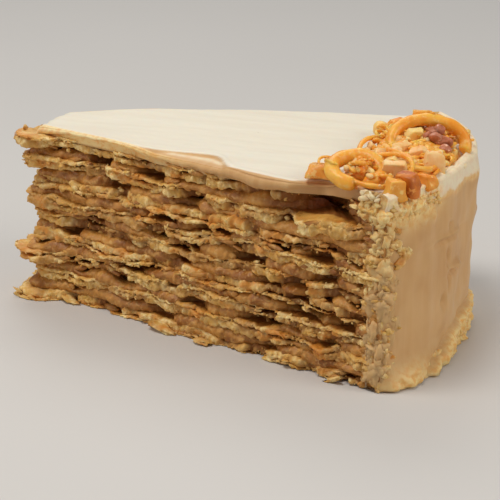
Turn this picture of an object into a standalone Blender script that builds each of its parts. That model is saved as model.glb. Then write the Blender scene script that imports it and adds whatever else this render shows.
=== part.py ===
"""A slice of many-sheet peanut butter cake, cut from a round cake and standing on its base.

Nine ragged pastry sheets and eight layers of filling run through the slice. Icing covers the top and the
round side, and a heap of crisp caramel noodles and chopped nuts lies on the icing along its round edge.

Metres, +Z up. +X runs from the tip of the slice to its round side, and the front cut faces -Y. The origin
is under the middle of the slice, on the surface that it stands on.
"""
import math
import random

import bmesh
import bpy
from mathutils import Matrix, Vector

# Driving dimensions
MM = 0.001
CAKE_RADIUS = 0.120
CAKE_CENTRE_X = -0.0519
HALF_ANGLE = math.radians(19.8)
APEX_X = -0.0852
SHIFT_X = 0.0021
SHIFT_Y = 0.0007
TIP_CUT = 0.0232
HEIGHT = 0.0540
BACK_FLAT = 0.0070
BACK_FLAT_ANGLE = math.radians(24.5)
BACK_BOW = 0.0065
GAP = 0.0003

# Sheets and filling
SHEETS = 9
ICING_TOP = 0.0032
SIDE_ICING = 0.0050
BEHIND_SIDE = SIDE_ICING + 2.5 * GAP
SHEET_SHARE = 0.60
RECESS = 0.0022
TIP_REACH = (0.0075, 0.0010, 0.0085, 0.0020, 0.0015, 0.0050, 0.0025, 0.0055, 0.0078)
RUNGS = 30
TIP_SHARES = (0.33, 0.67)

# Waves of the levels along the cuts: their size, then rate and share of the size for each wave
WAVE = 0.0006
WAVES = ((1.3, 0.6), (3.1, 0.45), (6.7, 0.35))
FADE_AT_TIP = 6.0
FADE_AT_SIDE = 8.0

# Torn rims of the sheets, as shares of the recess: least reach, how far it varies, and how much carries over
REACH_LEAST = 0.35
REACH_RANGE = 1.35
REACH_CARRIED = 0.45
REACH_BY_SIDE = 0.5
BITE_CHANCE = 0.16
BITE_REACH = 0.25
TIP_CORNER_SHARE = 0.55

# Rims of the sheets thin by a share of the thickness, with a random tilt, and the filling swells or sinks
THINNING = (0.18, 0.34)
TILT = 0.12
SWELL = (-0.55, 0.5)

# The hollow under the icing, where the topmost sheet has broken back from the front cut
HOLLOW_PLACE = 0.81
HOLLOW_HALF_WIDTH = 0.13
HOLLOW_DEPTH = 0.012

# Icing
COLUMNS = 15
TOP_ROWS = 13
SIDE_ROWS = 7
ROWS_EASED = 0.8
RAYS_CROWDED = 0.12
TIP_CURVE = 0.0016
LIP_OUT = 0.0026
LIP_THICK = 0.0014
LIP_DROP = 0.0024
LIP_SHOULDER = 0.55
LIP_BY_SIDE = 0.35
BACK_LIP = 0.5
RIM_DROP = 0.0004
BELLY = 0.0006
BELLY_RATE = 9.0
FLOOR_CLEAR = 0.0014
FOOT_ANGLE = math.radians(-20.0)
FOOT_WIDTH = math.radians(5.0)
FOOT_OUT = 0.0052
FOOT_HEIGHT = 0.0085

# Swells of the rolled front edge: place along the cut, half width and share of the drop
LIP_SWELLS = ((0.42, 0.30, 1.0), (0.62, 0.20, 0.55))
LIP_LEAST = 0.12
LIP_FADE = 9.0

# Topping
HEAP_FIRST = math.radians(-23.5)
HEAP_LAST = math.radians(12.5)
HEAP_RADIUS = 0.1040
HEAP_HALF_WIDTH = 0.0132
HEAP_ACROSS = 8
HEAP_ALONG = 15
HEAP_RIM = 0.0009
HEAP_BASE = 0.0014
HEAP_ROUGH = (0.7, 1.15)

# Mounds of the topping's core: plan position, height, and half widths in x and y
MOUNDS = ((0.0440, -0.0345, 0.0046, 0.0105, 0.0110), (0.0515, 0.0030, 0.0058, 0.0115, 0.0160))

NOODLE_RADIUS = 0.00135
NOODLE_STEPS = 18
CRUMBS = 20
CRUMB_SIZE = (0.0014, 0.0022)
CRUMB_LIFT = 0.0012

# Vertices closer than this after the union of the topping are merged
MERGE = 2e-5

Z_AXIS = Vector((0.0, 0.0, 1.0))


def plan(x, y):
    """A plan point, measured along and across the slice's middle line, moved so that the slice is centred."""
    return Vector((x + SHIFT_X, y + SHIFT_Y))


APEX = plan(APEX_X, 0.0)
CENTRE = plan(CAKE_CENTRE_X, 0.0)
FRONT_ALONG = Vector((math.cos(HALF_ANGLE), -math.sin(HALF_ANGLE)))
BACK_ALONG = Vector((math.cos(HALF_ANGLE), math.sin(HALF_ANGLE)))
FRONT_OUT = Vector((-math.sin(HALF_ANGLE), -math.cos(HALF_ANGLE)))
BACK_OUT = Vector((-math.sin(HALF_ANGLE), math.cos(HALF_ANGLE)))


def smooth(value):
    value = min(1.0, max(0.0, value))
    return value * value * (3.0 - 2.0 * value)


def bump(value, middle, half_width):
    """One at the middle, falling smoothly to nothing half_width away from it."""
    return smooth(1.0 - abs(value - middle) / half_width)


def heading(turn):
    return Vector((math.cos(turn), math.sin(turn)))


def make_material(name, colour, roughness):
    material = bpy.data.materials.new(name)
    material.use_nodes = True
    shader = material.node_tree.nodes["Principled BSDF"]
    shader.inputs["Base Color"].default_value = (*colour, 1.0)
    shader.inputs["Roughness"].default_value = roughness
    shader.inputs["Metallic"].default_value = 0.0
    return material


def add_object(name, bm, material):
    """Turn the bmesh into a named object with its faces pointing out."""
    bmesh.ops.recalc_face_normals(bm, faces=bm.faces)
    mesh = bpy.data.meshes.new(name)
    bm.to_mesh(mesh)
    bm.free()
    mesh.materials.append(material)
    piece = bpy.data.objects.new(name, mesh)
    bpy.context.scene.collection.objects.link(piece)
    return piece


def new_verts(result, key="geom"):
    """The vertices that a bmesh operator has made."""
    return [item for item in result[key] if isinstance(item, bmesh.types.BMVert)]


def bowed(point):
    """Bend the plan: the back cut bows outward between the tip and the round side, the front cut stays."""
    offset = point - APEX
    across = smooth(0.5 + 0.5 * math.atan2(offset.y, offset.x) / HALF_ANGLE)
    share = min(1.0, max(0.0, (offset.x - TIP_CUT) / (CENTRE.x + CAKE_RADIUS - APEX.x - TIP_CUT)))
    return point + Vector((0.0, BACK_BOW * across * across * math.sin(math.pi * share ** 0.75)))


def to_side(start, along, inset):
    """How far along a line from start lies the round side, or the face that lies inset behind it.

    The side is a circle about the cake's centre that flattens a little towards the back corner.
    """
    offset = start - CENTRE
    half = offset.dot(along)
    reach = CAKE_RADIUS
    for _ in range(6):
        spoke = offset + along * reach
        flat = max(0.0, math.atan2(spoke.y, spoke.x) / BACK_FLAT_ANGLE) ** 2
        radius = CAKE_RADIUS - BACK_FLAT * flat - inset
        reach = -half + math.sqrt(half * half - offset.length_squared + radius * radius)
    return reach


def ray(share):
    """A direction from the apex, from the front cut (0) to the back cut (1), closer set towards the back."""
    spread = share + RAYS_CROWDED * math.sin(math.pi * share)
    return heading(HALF_ANGLE * (2.0 * spread - 1.0))


class Outline:
    """The plan of a layer: a front path and a back path from the tip to the round side, and the arc between.

    Each point of the paths and of the tip has the direction in which the cut faces there.
    """

    def __init__(self, inset, has_hollow):
        front_start = APEX - FRONT_OUT * inset
        back_start = APEX - BACK_OUT * inset
        first = TIP_CUT + inset
        front_end = to_side(front_start, FRONT_ALONG, BEHIND_SIDE)
        back_end = to_side(back_start, BACK_ALONG, BEHIND_SIDE)
        self.front = []
        self.back = []
        for rung in range(RUNGS + 1):
            share = rung / RUNGS
            broken_back = HOLLOW_DEPTH * bump(share, HOLLOW_PLACE, HOLLOW_HALF_WIDTH) if has_hollow else 0.0
            along = first + (front_end - first) * share
            self.front.append((bowed(front_start + FRONT_ALONG * along - FRONT_OUT * broken_back), FRONT_OUT))
            along = first + (back_end - first) * share
            self.back.append((bowed(back_start + BACK_ALONG * along), BACK_OUT))
        across = self.back[0][0] - self.front[0][0]
        self.tip = []
        for share in TIP_SHARES:
            out = Vector((-1.0, 0.6 * (share - 0.5))).normalized()
            self.tip.append((self.front[0][0] + across * share + out * inset * 0.3, out))
        self.arc = []
        low = self.front[-1][0] - APEX
        high = self.back[-1][0] - APEX
        for column in range(COLUMNS - 2):
            direction = ray(column / (COLUMNS - 3))
            if low.x * direction.y > low.y * direction.x and high.x * direction.y < high.y * direction.x:
                self.arc.append(bowed(APEX + direction * to_side(APEX, direction, BEHIND_SIDE)))

    def facing(self, point):
        """The direction in which the cut faces at a rim point, or nothing on the round side."""
        for place, out in self.front + self.tip + self.back:
            if (place - point.to_2d()).length < GAP / 2.0:
                return out
        return None


class Level:
    """A height that rises and falls a little along the cuts, the same for the two layers that meet there."""

    def __init__(self, height, swing, seed):
        draw = random.Random(seed)
        self.height = height
        self.waves = [[(rate, draw.uniform(0.0, math.tau), swing * size) for rate, size in WAVES]
                      for side in (0, 1)]

    def at(self, side, share):
        """Height at a share of the way from the tip, on the front (0) or the back (1)."""
        fade = smooth(share * FADE_AT_TIP) * smooth((1.0 - share) * FADE_AT_SIDE)
        return self.height + fade * sum(size * math.sin(rate * math.tau * share + phase)
                                        for rate, phase, size in self.waves[side])


def layer_solid(outline, lower, upper):
    """A layer's solid between two levels, with its walls and the layer in which vertices keep their share."""
    bm = bmesh.new()
    side_of = bm.verts.layers.int.new("side")
    share_of = bm.verts.layers.float.new("share")

    def vertex(point, side, share):
        new = bm.verts.new((point.x, point.y, 0.0))
        new[side_of] = side
        new[share_of] = share
        return new

    front = [vertex(point, 0, rung / RUNGS) for rung, (point, out) in enumerate(outline.front)]
    back = [vertex(point, 1, rung / RUNGS) for rung, (point, out) in enumerate(outline.back)]
    tip = [vertex(point, 0, 0.0) for point, out in outline.tip]
    arc = [vertex(point, 0, 1.0) for point in outline.arc]
    for rung in range(RUNGS):
        bm.faces.new((front[rung], front[rung + 1], back[rung + 1], back[rung]))
    bm.faces.new((front[0], back[0], tip[1], tip[0]))
    bm.faces.new([front[-1]] + arc + [back[-1]])
    bmesh.ops.triangulate(bm, faces=bm.faces, quad_method="FIXED", ngon_method="EAR_CLIP")

    bottom = list(bm.verts)
    top = new_verts(bmesh.ops.extrude_face_region(bm, geom=bm.faces[:]))
    for group, level in ((bottom, lower), (top, upper)):
        for spot in group:
            spot.co.z = level.at(spot[side_of], spot[share_of])
    walls = [face for face in bm.faces if len({spot in top for spot in face.verts}) == 2]
    return bm, walls, share_of


def pastry_sheet(number, lower, upper, material):
    """A sheet with a torn, uneven rim that stands proud of the filling at the cuts and the tip."""
    draw = random.Random(100 + number)
    outline = Outline(RECESS, number == SHEETS)
    bm, walls, share_of = layer_solid(outline, lower, upper)
    open_walls = [face for face in walls
                  if all(outline.facing(vertex.co) is not None for vertex in face.verts)]
    rim = new_verts(bmesh.ops.extrude_face_region(bm, geom=open_walls))
    bmesh.ops.delete(bm, geom=open_walls, context="FACES_ONLY")
    columns = {}
    for vertex in rim:
        columns.setdefault((round(vertex.co.x, 6), round(vertex.co.y, 6)), []).append(vertex)
    wander = 0.5
    for place in sorted(columns):
        low, high = sorted(columns[place], key=lambda vertex: vertex.co.z)
        out = outline.facing(low.co)
        on_tip = out not in (FRONT_OUT, BACK_OUT)
        wander = REACH_CARRIED * wander + (1.0 - REACH_CARRIED) * draw.random()
        reach = RECESS * (REACH_LEAST + REACH_RANGE * wander)
        if draw.random() < BITE_CHANCE:
            reach = RECESS * BITE_REACH
        if number == SHEETS:
            reach = min(reach, RECESS)
        if low[share_of] == 1.0:
            reach = min(reach, RECESS * REACH_BY_SIDE)
        if on_tip or low[share_of] == 0.0:
            reach += TIP_REACH[number - 1] * (1.0 if on_tip else TIP_CORNER_SHARE)
        thickness = high.co.z - low.co.z
        squeeze = draw.uniform(*THINNING)
        tilt = draw.uniform(-TILT, TILT)
        low_lift = (squeeze + tilt) * thickness if number > 1 else 0.0
        high_drop = (squeeze - tilt) * thickness
        shift = out.to_3d() * reach
        low.co += shift + Z_AXIS * low_lift
        high.co += shift - Z_AXIS * high_drop
    add_object(f"pastry_{number}", bm, material)


def filling_layer(number, lower, upper, material):
    """A layer of filling, set back from the sheets' rims, with a wall that bulges and sinks."""
    draw = random.Random(200 + number)
    outline = Outline(RECESS, number == SHEETS - 1)
    bm = layer_solid(outline, lower, upper)[0]
    posts = [edge for edge in bm.edges if (edge.verts[0].co - edge.verts[1].co).to_2d().length < GAP / 2.0]
    halfway = new_verts(bmesh.ops.subdivide_edges(bm, edges=posts, cuts=1), "geom_inner")
    for vertex in sorted(halfway, key=lambda vertex: tuple(vertex.co)):
        out = outline.facing(vertex.co)
        if out is not None:
            vertex.co += out.to_3d() * draw.uniform(*SWELL) * RECESS
    add_object(f"filling_{number}", bm, material)


def build_layers(pastry, filling):
    """Stack the sheets and the filling between them, from the base to the underside of the icing."""
    pitch = (HEIGHT - ICING_TOP - GAP) / (SHEETS - 1 + SHEET_SHARE)
    for number in range(1, SHEETS + 1):
        base = pitch * (number - 1)
        top = base + pitch * SHEET_SHARE
        under = 0.0 if number == 1 else WAVE
        over = 0.0 if number in (SHEETS - 1, SHEETS) else WAVE
        pastry_sheet(number, Level(base, under, 10 * number), Level(top, over, 10 * number + 5), pastry)
        if number < SHEETS:
            filling_lower = Level(top + GAP, over, 10 * number + 5)
            filling_upper = Level(base + pitch - GAP, WAVE, 10 * number + 10)
            filling_layer(number, filling_lower, filling_upper, filling)


def lip_drop(share):
    """How far the icing's rolled front edge hangs below its underside, along the front cut."""
    swell = sum(bump(share, place, half_width) * size for place, half_width, size in LIP_SWELLS)
    return LIP_DROP * min(1.0, LIP_LEAST + swell) * smooth((1.0 - share) * LIP_FADE)


def side_push(row, place, height):
    """How far the round side swells out at a place: a shallow belly, and a foot by the front corner."""
    spoke = place - CENTRE
    angle = math.atan2(spoke.y, spoke.x)
    foot = math.exp(-((angle - FOOT_ANGLE) / FOOT_WIDTH) ** 2)
    foot *= smooth(1.0 - (height - FLOOR_CLEAR) / FOOT_HEIGHT)
    belly = math.sin(math.pi * (row - TOP_ROWS) / SIDE_ROWS) * math.sin(BELLY_RATE * angle + 0.6)
    return spoke.normalized() * (FOOT_OUT * foot + BELLY * belly)


def icing_point(row, column, inside):
    """A point of the icing's outer face, or of its inner face: rows run along the top and down the side."""
    spread = min(1.0, max(0.0, (column - 1) / (COLUMNS - 3)))
    direction = ray(spread)
    far = to_side(APEX, direction, SIDE_ICING if inside else 0.0)
    share = min(1.0, row / TOP_ROWS)
    tip = TIP_CUT + TIP_CURVE * math.sin(5.0 * spread + 0.8)
    height = HEIGHT - (ICING_TOP if inside else 0.0)
    if row > TOP_ROWS:
        height += (FLOOR_CLEAR - height) * ((row - TOP_ROWS) / SIDE_ROWS) ** ROWS_EASED
    elif not inside and row == TOP_ROWS:
        height -= RIM_DROP
    place = bowed(APEX + direction * (tip + (far - tip) * share))
    if row > TOP_ROWS and not inside:
        place += side_push(row, place, height)
    if 1 < column < COLUMNS - 2:
        return Vector((place.x, place.y, height))

    at_front = column < 2
    at_end = column in (0, COLUMNS - 1)
    out = LIP_OUT * LIP_BY_SIDE if at_end else 0.0
    if row < TOP_ROWS:
        drop = lip_drop(share) * (1.0 if at_front else BACK_LIP)
        if inside:
            out = LIP_OUT - LIP_THICK
            height -= drop if at_end else 0.0
        else:
            out = LIP_OUT if at_end else LIP_OUT * LIP_SHOULDER
            height -= ICING_TOP * 0.55 + drop * 0.8 if at_end else ICING_TOP * 0.08
    place += (FRONT_OUT if at_front else BACK_OUT) * out
    return Vector((place.x, place.y, height))


def build_icing(material):
    """One skin over the top and down the round side, with a rolled edge that hangs over the cuts."""
    last_row = TOP_ROWS + SIDE_ROWS
    last_column = COLUMNS - 1
    bm = bmesh.new()
    bmesh.ops.create_grid(bm, x_segments=last_row, y_segments=last_column, size=0.5)
    row_of = bm.verts.layers.int.new("row")
    column_of = bm.verts.layers.int.new("column")
    for vertex in bm.verts:
        vertex[row_of] = round((vertex.co.x + 0.5) * last_row)
        vertex[column_of] = round((vertex.co.y + 0.5) * last_column)
    outer = list(bm.verts)
    inner = new_verts(bmesh.ops.extrude_face_region(bm, geom=bm.faces[:]))
    for group, inside in ((outer, False), (inner, True)):
        for vertex in group:
            vertex.co = icing_point(vertex[row_of], vertex[column_of], inside)
    add_object("icing", bm, material)


def heap_height(place):
    """Height of the topping's core over a plan point: one mound at the front cut and one further back."""
    height = 0.0
    for x, y, tall, half_x, half_y in MOUNDS:
        offset = place - plan(x, y)
        height += tall * math.exp(-((offset.x / half_x) ** 2 + (offset.y / half_y) ** 2))
    return height


def heap_middle(share):
    """The line that the heap follows along the icing's round edge, from the front cut to the back."""
    return CENTRE + heading(HEAP_FIRST + (HEAP_LAST - HEAP_FIRST) * share) * HEAP_RADIUS


def heap_core():
    """A lumpy mound along the round edge, flat underneath."""
    bm = bmesh.new()
    bmesh.ops.create_grid(bm, x_segments=HEAP_ACROSS, y_segments=HEAP_ALONG, size=0.5)
    draw = random.Random(7)
    bottom = list(bm.verts)
    top = new_verts(bmesh.ops.extrude_face_region(bm, geom=bm.faces[:]))
    for vertex in bottom + top:
        middle = heap_middle(vertex.co.y + 0.5)
        out = (middle - CENTRE).normalized()
        width = HEAP_HALF_WIDTH * math.sqrt(max(0.1, 1.0 - abs(2.0 * vertex.co.y) ** 3.0))
        place = middle + out * (2.0 * vertex.co.x) * width
        edge = smooth((0.5 - abs(vertex.co.x)) * 4.0) * smooth((0.5 - abs(vertex.co.y)) * 8.0)
        raised = 0.0
        if vertex in top:
            raised = HEAP_RIM + edge * (HEAP_BASE + heap_height(place)) * draw.uniform(*HEAP_ROUGH)
        vertex.co = Vector((place.x, place.y, HEIGHT + GAP + raised))
    return bm


# Each noodle: its middle, the radii of its curl, how far it leans back and is turned, first angle and sweep,
# in millimetres and degrees
NOODLES = (
    ((43.8, -38.5, 58.5), (6.7, 6.0), 27, 18, -70, 345),
    ((37.8, -36.0, 56.4), (6.4, 8.2), 8, 0, 105, 150),
    ((55.6, -2.5, 58.5), (11.0, 8.5), 52, 26, -15, 245),
    ((52.8, 9.0, 58.5), (7.6, 6.5), 68, 12, 0, 180),
    ((44.5, -30.5, 58.2), (14.0, 10.0), 14, -28, 10, 125),
    ((49.5, -34.5, 58.0), (9.5, 8.0), 22, -18, 0, 150),
    ((46.5, -10.5, 58.0), (8.5, 11.0), 10, 0, 70, 190),
    ((50.5, 14.5, 57.8), (9.0, 8.0), 12, 40, -10, 230),
    ((57.0, -25.0, 57.4), (5.5, 9.0), -12, 0, -85, 150),
    ((50.5, -40.5, 56.0), (7.5, 4.0), 0, 12, 185, 140),
)

# Chopped pieces that show from a step away: middle and half size, in millimetres
CHUNKS = (
    ((37.5, 15.5, 56.8), 3.4), ((42.0, 17.5, 57.4), 2.4), ((56.4, -2.0, 61.0), 2.6),
    ((60.5, -5.0, 59.6), 2.8), ((52.5, -5.5, 60.0), 3.0), ((60.2, -20.5, 57.4), 3.2),
    ((56.4, -42.2, 56.2), 2.7), ((59.0, -38.0, 56.8), 3.0), ((61.2, -31.0, 56.2), 2.4),
    ((55.2, -36.5, 58.8), 2.4), ((46.8, -24.0, 59.6), 2.2), ((56.0, 8.5, 62.6), 2.0),
)


def noodle_points(middle, radii, lean, turn, start, sweep):
    """Points along a curled noodle: part of an ellipse that leans back, set down no lower than the icing."""
    pose = Matrix.Rotation(math.radians(turn), 3, "Z") @ Matrix.Rotation(math.radians(lean), 3, "X")
    floor = HEIGHT + GAP + NOODLE_RADIUS * 0.9
    points = []
    for step in range(NOODLE_STEPS + 1):
        angle = math.radians(start + sweep * step / NOODLE_STEPS)
        curl = Vector((radii[0] * math.cos(angle), radii[1] * math.sin(angle), 0.4 * math.sin(2.3 * angle)))
        point = (Vector(middle) + pose @ curl) * MM
        place = plan(point.x, point.y)
        points.append(Vector((place.x, place.y, max(point.z, floor))))
    return points


def noodle_object(name, points):
    """A round noodle along the points, with closed ends."""
    curve = bpy.data.curves.new(name, "CURVE")
    curve.dimensions = "3D"
    curve.bevel_depth = NOODLE_RADIUS
    curve.bevel_resolution = 1
    curve.use_fill_caps = True
    spline = curve.splines.new("POLY")
    spline.points.add(len(points) - 1)
    for spot, point in zip(spline.points, points):
        spot.co = (*point, 1.0)
    shape = bpy.data.objects.new(name, curve)
    bpy.context.scene.collection.objects.link(shape)
    mesh = bpy.data.meshes.new_from_object(shape.evaluated_get(bpy.context.evaluated_depsgraph_get()))
    bpy.data.objects.remove(shape)
    bm = bmesh.new()
    bm.from_mesh(mesh)
    bmesh.ops.remove_doubles(bm, verts=bm.verts, dist=GAP / 3.0)
    bmesh.ops.recalc_face_normals(bm, faces=bm.faces)
    bm.to_mesh(mesh)
    bm.free()
    return bpy.data.objects.new(name, mesh)


def chunk_object(name, middle, size, draw):
    """A chopped piece: a small rough lump."""
    bm = bmesh.new()
    bmesh.ops.create_icosphere(bm, subdivisions=1, radius=1.0)
    for vertex in bm.verts:
        vertex.co *= draw.uniform(0.8, 1.15)
    stretch = Matrix.Diagonal((size * draw.uniform(0.8, 1.2), size, size * draw.uniform(0.7, 1.0), 1.0))
    turn = Matrix.Rotation(draw.uniform(0.0, math.tau), 4, "Z")
    turn = turn @ Matrix.Rotation(draw.uniform(-0.6, 0.6), 4, "X")
    bm.transform(Matrix.Translation(middle) @ turn @ stretch)
    mesh = bpy.data.meshes.new(name)
    bm.to_mesh(mesh)
    bm.free()
    return bpy.data.objects.new(name, mesh)


def chopped_pieces():
    """The larger pieces at their own places, and smaller ones spread evenly over the heap."""
    draw = random.Random(31)
    pieces = []
    for number, ((x, y, z), size) in enumerate(CHUNKS):
        place = plan(x * MM, y * MM)
        pieces.append(chunk_object(f"chunk_{number}", Vector((place.x, place.y, z * MM)), size * MM, draw))
    for number in range(CRUMBS):
        middle = heap_middle((number + 0.5) / CRUMBS)
        out = (middle - CENTRE).normalized()
        place = middle + out * draw.uniform(-0.85, 0.85) * HEAP_HALF_WIDTH
        size = draw.uniform(*CRUMB_SIZE)
        height = HEIGHT + GAP + CRUMB_LIFT + heap_height(place)
        pieces.append(chunk_object(f"crumb_{number}", Vector((place.x, place.y, height)), size, draw))
    return pieces


def keep_largest_body(bm):
    """Drop loose scraps and the walls of sealed hollows, so that one closed body is left."""
    waiting = set(bm.verts)
    bodies = []
    while waiting:
        found = {waiting.pop()}
        edge_of_search = list(found)
        while edge_of_search:
            vertex = edge_of_search.pop()
            for edge in vertex.link_edges:
                other = edge.other_vert(vertex)
                if other not in found:
                    found.add(other)
                    edge_of_search.append(other)
        waiting -= found
        bodies.append(found)
    bodies.sort(key=len)
    scraps = [vertex for body in bodies[:-1] for vertex in body]
    bmesh.ops.delete(bm, geom=scraps, context="VERTS")


def build_topping(material):
    """The heap: a mound with its noodles and nuts fused on by one union, and trimmed flat underneath."""
    heap = add_object("topping", heap_core(), material)
    pieces = bpy.data.collections.new("topping_pieces")
    bpy.context.scene.collection.children.link(pieces)
    for number, noodle in enumerate(NOODLES):
        pieces.objects.link(noodle_object(f"noodle_{number}", noodle_points(*noodle)))
    for piece in chopped_pieces():
        pieces.objects.link(piece)
    union = heap.modifiers.new("fuse", "BOOLEAN")
    union.operation = "UNION"
    union.operand_type = "COLLECTION"
    union.collection = pieces
    union.solver = "EXACT"
    depsgraph = bpy.context.evaluated_depsgraph_get()
    fused = bpy.data.meshes.new_from_object(heap.evaluated_get(depsgraph))
    heap.modifiers.clear()
    bm = bmesh.new()
    bm.from_mesh(fused)
    base = Vector((0.0, 0.0, HEIGHT + GAP))
    cut = bmesh.ops.bisect_plane(bm, geom=bm.verts[:] + bm.edges[:] + bm.faces[:], dist=1e-6,
                                 plane_co=base, plane_no=Z_AXIS, clear_inner=True)
    rim = [item for item in cut["geom_cut"] if isinstance(item, bmesh.types.BMEdge)]
    bmesh.ops.holes_fill(bm, edges=rim, sides=0)
    bmesh.ops.triangulate(bm, faces=bm.faces)
    bmesh.ops.remove_doubles(bm, verts=bm.verts, dist=MERGE)
    bmesh.ops.dissolve_degenerate(bm, edges=bm.edges, dist=MERGE / 2.0)
    keep_largest_body(bm)
    bm.to_mesh(heap.data)
    bm.free()
    for piece in list(pieces.objects):
        bpy.data.objects.remove(piece)
    bpy.data.collections.remove(pieces)


def main():
    for old in list(bpy.data.objects):
        bpy.data.objects.remove(old)
    pastry = make_material("pastry", (0.62, 0.38, 0.14), 0.75)
    filling = make_material("filling", (0.30, 0.15, 0.06), 0.50)
    icing = make_material("icing", (0.82, 0.66, 0.45), 0.55)
    topping = make_material("topping", (0.76, 0.34, 0.07), 0.30)
    build_layers(pastry, filling)
    build_icing(icing)
    build_topping(topping)


main()
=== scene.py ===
"""The looks of a slice of many-sheet peanut butter cake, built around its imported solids.

Torn pastry leaves, filling, sculpted icing and a heap of caramel noodles with chopped nuts.
Metres, +Z up. +X runs from the tip of the slice to its iced round side, and the front cut faces -Y.
"""
import math
import random
from collections import namedtuple

import bmesh
import bpy
from mathutils import Matrix, Vector, noise


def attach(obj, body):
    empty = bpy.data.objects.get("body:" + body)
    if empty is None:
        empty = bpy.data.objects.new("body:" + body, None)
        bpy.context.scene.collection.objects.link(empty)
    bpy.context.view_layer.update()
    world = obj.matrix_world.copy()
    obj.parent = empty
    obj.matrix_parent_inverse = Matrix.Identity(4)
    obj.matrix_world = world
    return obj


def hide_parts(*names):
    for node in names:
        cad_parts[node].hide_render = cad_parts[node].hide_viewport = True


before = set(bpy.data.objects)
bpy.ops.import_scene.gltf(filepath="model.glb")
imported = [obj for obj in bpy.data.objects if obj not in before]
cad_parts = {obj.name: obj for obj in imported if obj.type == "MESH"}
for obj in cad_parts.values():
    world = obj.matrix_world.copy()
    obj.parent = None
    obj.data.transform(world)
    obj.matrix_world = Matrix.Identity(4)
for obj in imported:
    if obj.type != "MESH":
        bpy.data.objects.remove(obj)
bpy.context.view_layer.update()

MM = 0.001
UP = Vector((0.0, 0.0, 1.0))

# The slice's plan and heights, as its solids have them
CAKE_RADIUS = 0.120
HALF_ANGLE = math.radians(19.8)
SHIFT = Vector((0.0021, 0.0007))
APEX = Vector((-0.0852, 0.0)) + SHIFT
CENTRE = Vector((-0.0519, 0.0)) + SHIFT
TIP_CUT = 0.0232
HEIGHT = 0.0540
BACK_FLAT = 0.0070
BACK_FLAT_ANGLE = math.radians(24.5)
BACK_BOW = 0.0065
SHEETS = 9
SHEET_SHARE = 0.60
ICING_TOP = 0.0032
SIDE_ICING = 0.0050
GAP = 0.0003
BASE_LEVEL = 0.00005
TIP_REACH = (0.0075, 0.0010, 0.0085, 0.0020, 0.0015, 0.0050, 0.0025, 0.0055, 0.0078)
PITCH = (HEIGHT - ICING_TOP - GAP) / (SHEETS - 1 + SHEET_SHARE)

# The break in the topmost sheet: middle and half width as shares of the front cut's length, and depth
HOLLOW_PLACE = 0.852
HOLLOW_HALF_WIDTH = 0.137
HOLLOW_DEPTH = 0.012

# A layer's height swings by this much, in waves: how many in a cut's length, and share of the swing
WAVE = 0.0006
WAVES = ((1.3, 0.6), (3.1, 0.45), (6.7, 0.35))

FRONT_ALONG = Vector((math.cos(HALF_ANGLE), -math.sin(HALF_ANGLE)))
BACK_ALONG = Vector((math.cos(HALF_ANGLE), math.sin(HALF_ANGLE)))
FRONT_OUT = Vector((-math.sin(HALF_ANGLE), -math.cos(HALF_ANGLE)))
BACK_OUT = Vector((-math.sin(HALF_ANGLE), math.cos(HALF_ANGLE)))


def smooth(value):
    """A ramp from 0 to 1 that starts and ends gently."""
    value = min(1.0, max(0.0, value))
    return value * value * (3.0 - 2.0 * value)


def mix(low, high, share):
    return low + (high - low) * share


def bump(value, middle, half_width):
    """1 at the middle, falling gently to 0 a half width away."""
    return smooth(1.0 - abs(value - middle) / half_width)


def heading(turn):
    """Plan direction at an angle from +X."""
    return Vector((math.cos(turn), math.sin(turn)))


def round_way(angle):
    """Level direction along the round side at an angle about the cake's centre."""
    return heading(angle + math.pi / 2.0).to_3d()


def lifted(point, height):
    """A plan point at a height."""
    return Vector((point.x, point.y, height))


def turned(turn, tilt):
    """A tilt about X, then a turn about Z."""
    return Matrix.Rotation(turn, 3, "Z") @ Matrix.Rotation(tilt, 3, "X")


def plan(x, y):
    """A plan point given as the slice is drawn, before the shift that centres it."""
    return Vector((x, y)) + SHIFT


def spot_mm(x, y, z):
    """A spot given in millimetres, before the shift that centres the slice."""
    return Vector((x * MM + SHIFT.x, y * MM + SHIFT.y, z * MM))


def drawn(draw, *ranges):
    """Random sizes along three axes, from ranges in millimetres."""
    return Vector([draw.uniform(low, high) for low, high in ranges]) * MM


def grain(place, size, seed):
    """Smooth noise, about -1 to 1, with lumps of the given size."""
    shift = Vector((seed * 3.7 + 11.3, seed * 7.1 - 4.9, seed * 1.9 + 2.3))
    return noise.noise(place / size + shift)


def grains(place, seed, *layers):
    """Grain of several sizes added up. Each layer is a strength and a size in millimetres."""
    return sum(strength * grain(place, size * MM, seed + step)
               for step, (strength, size) in enumerate(layers))


def popcorn(place, size, seed):
    """Rounded lumps with creases between them, from 0 in a crease to about 1."""
    return 1.3 * abs(grain(place, size, seed)) + 0.7 * abs(grain(place, size / 2.2, seed + 1))


def bowed(point):
    """The back cut bows outward between the tip and the round side, as in the solids."""
    offset = point - APEX
    across = smooth(0.5 + 0.5 * math.atan2(offset.y, offset.x) / HALF_ANGLE)
    share = min(1.0, max(0.0, (offset.x - TIP_CUT) / (CENTRE.x + CAKE_RADIUS - APEX.x - TIP_CUT)))
    return point + Vector((0.0, BACK_BOW * across * across * math.sin(math.pi * share ** 0.75)))


def side_radius(angle, inset):
    """Distance from the cake's centre to the round side, which flattens towards its back corner."""
    flat = max(0.0, angle / BACK_FLAT_ANGLE) ** 2
    return CAKE_RADIUS - BACK_FLAT * flat - inset


def to_side(along, inset):
    """How far from the apex the round side lies along a direction, or the face that lies inset behind it."""
    offset = APEX - CENTRE
    half = offset.dot(along)
    reach = CAKE_RADIUS
    for _ in range(6):
        spoke = offset + along * reach
        radius = side_radius(math.atan2(spoke.y, spoke.x), inset)
        reach = -half + math.sqrt(half * half - offset.length_squared + radius * radius)
    return reach


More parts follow.
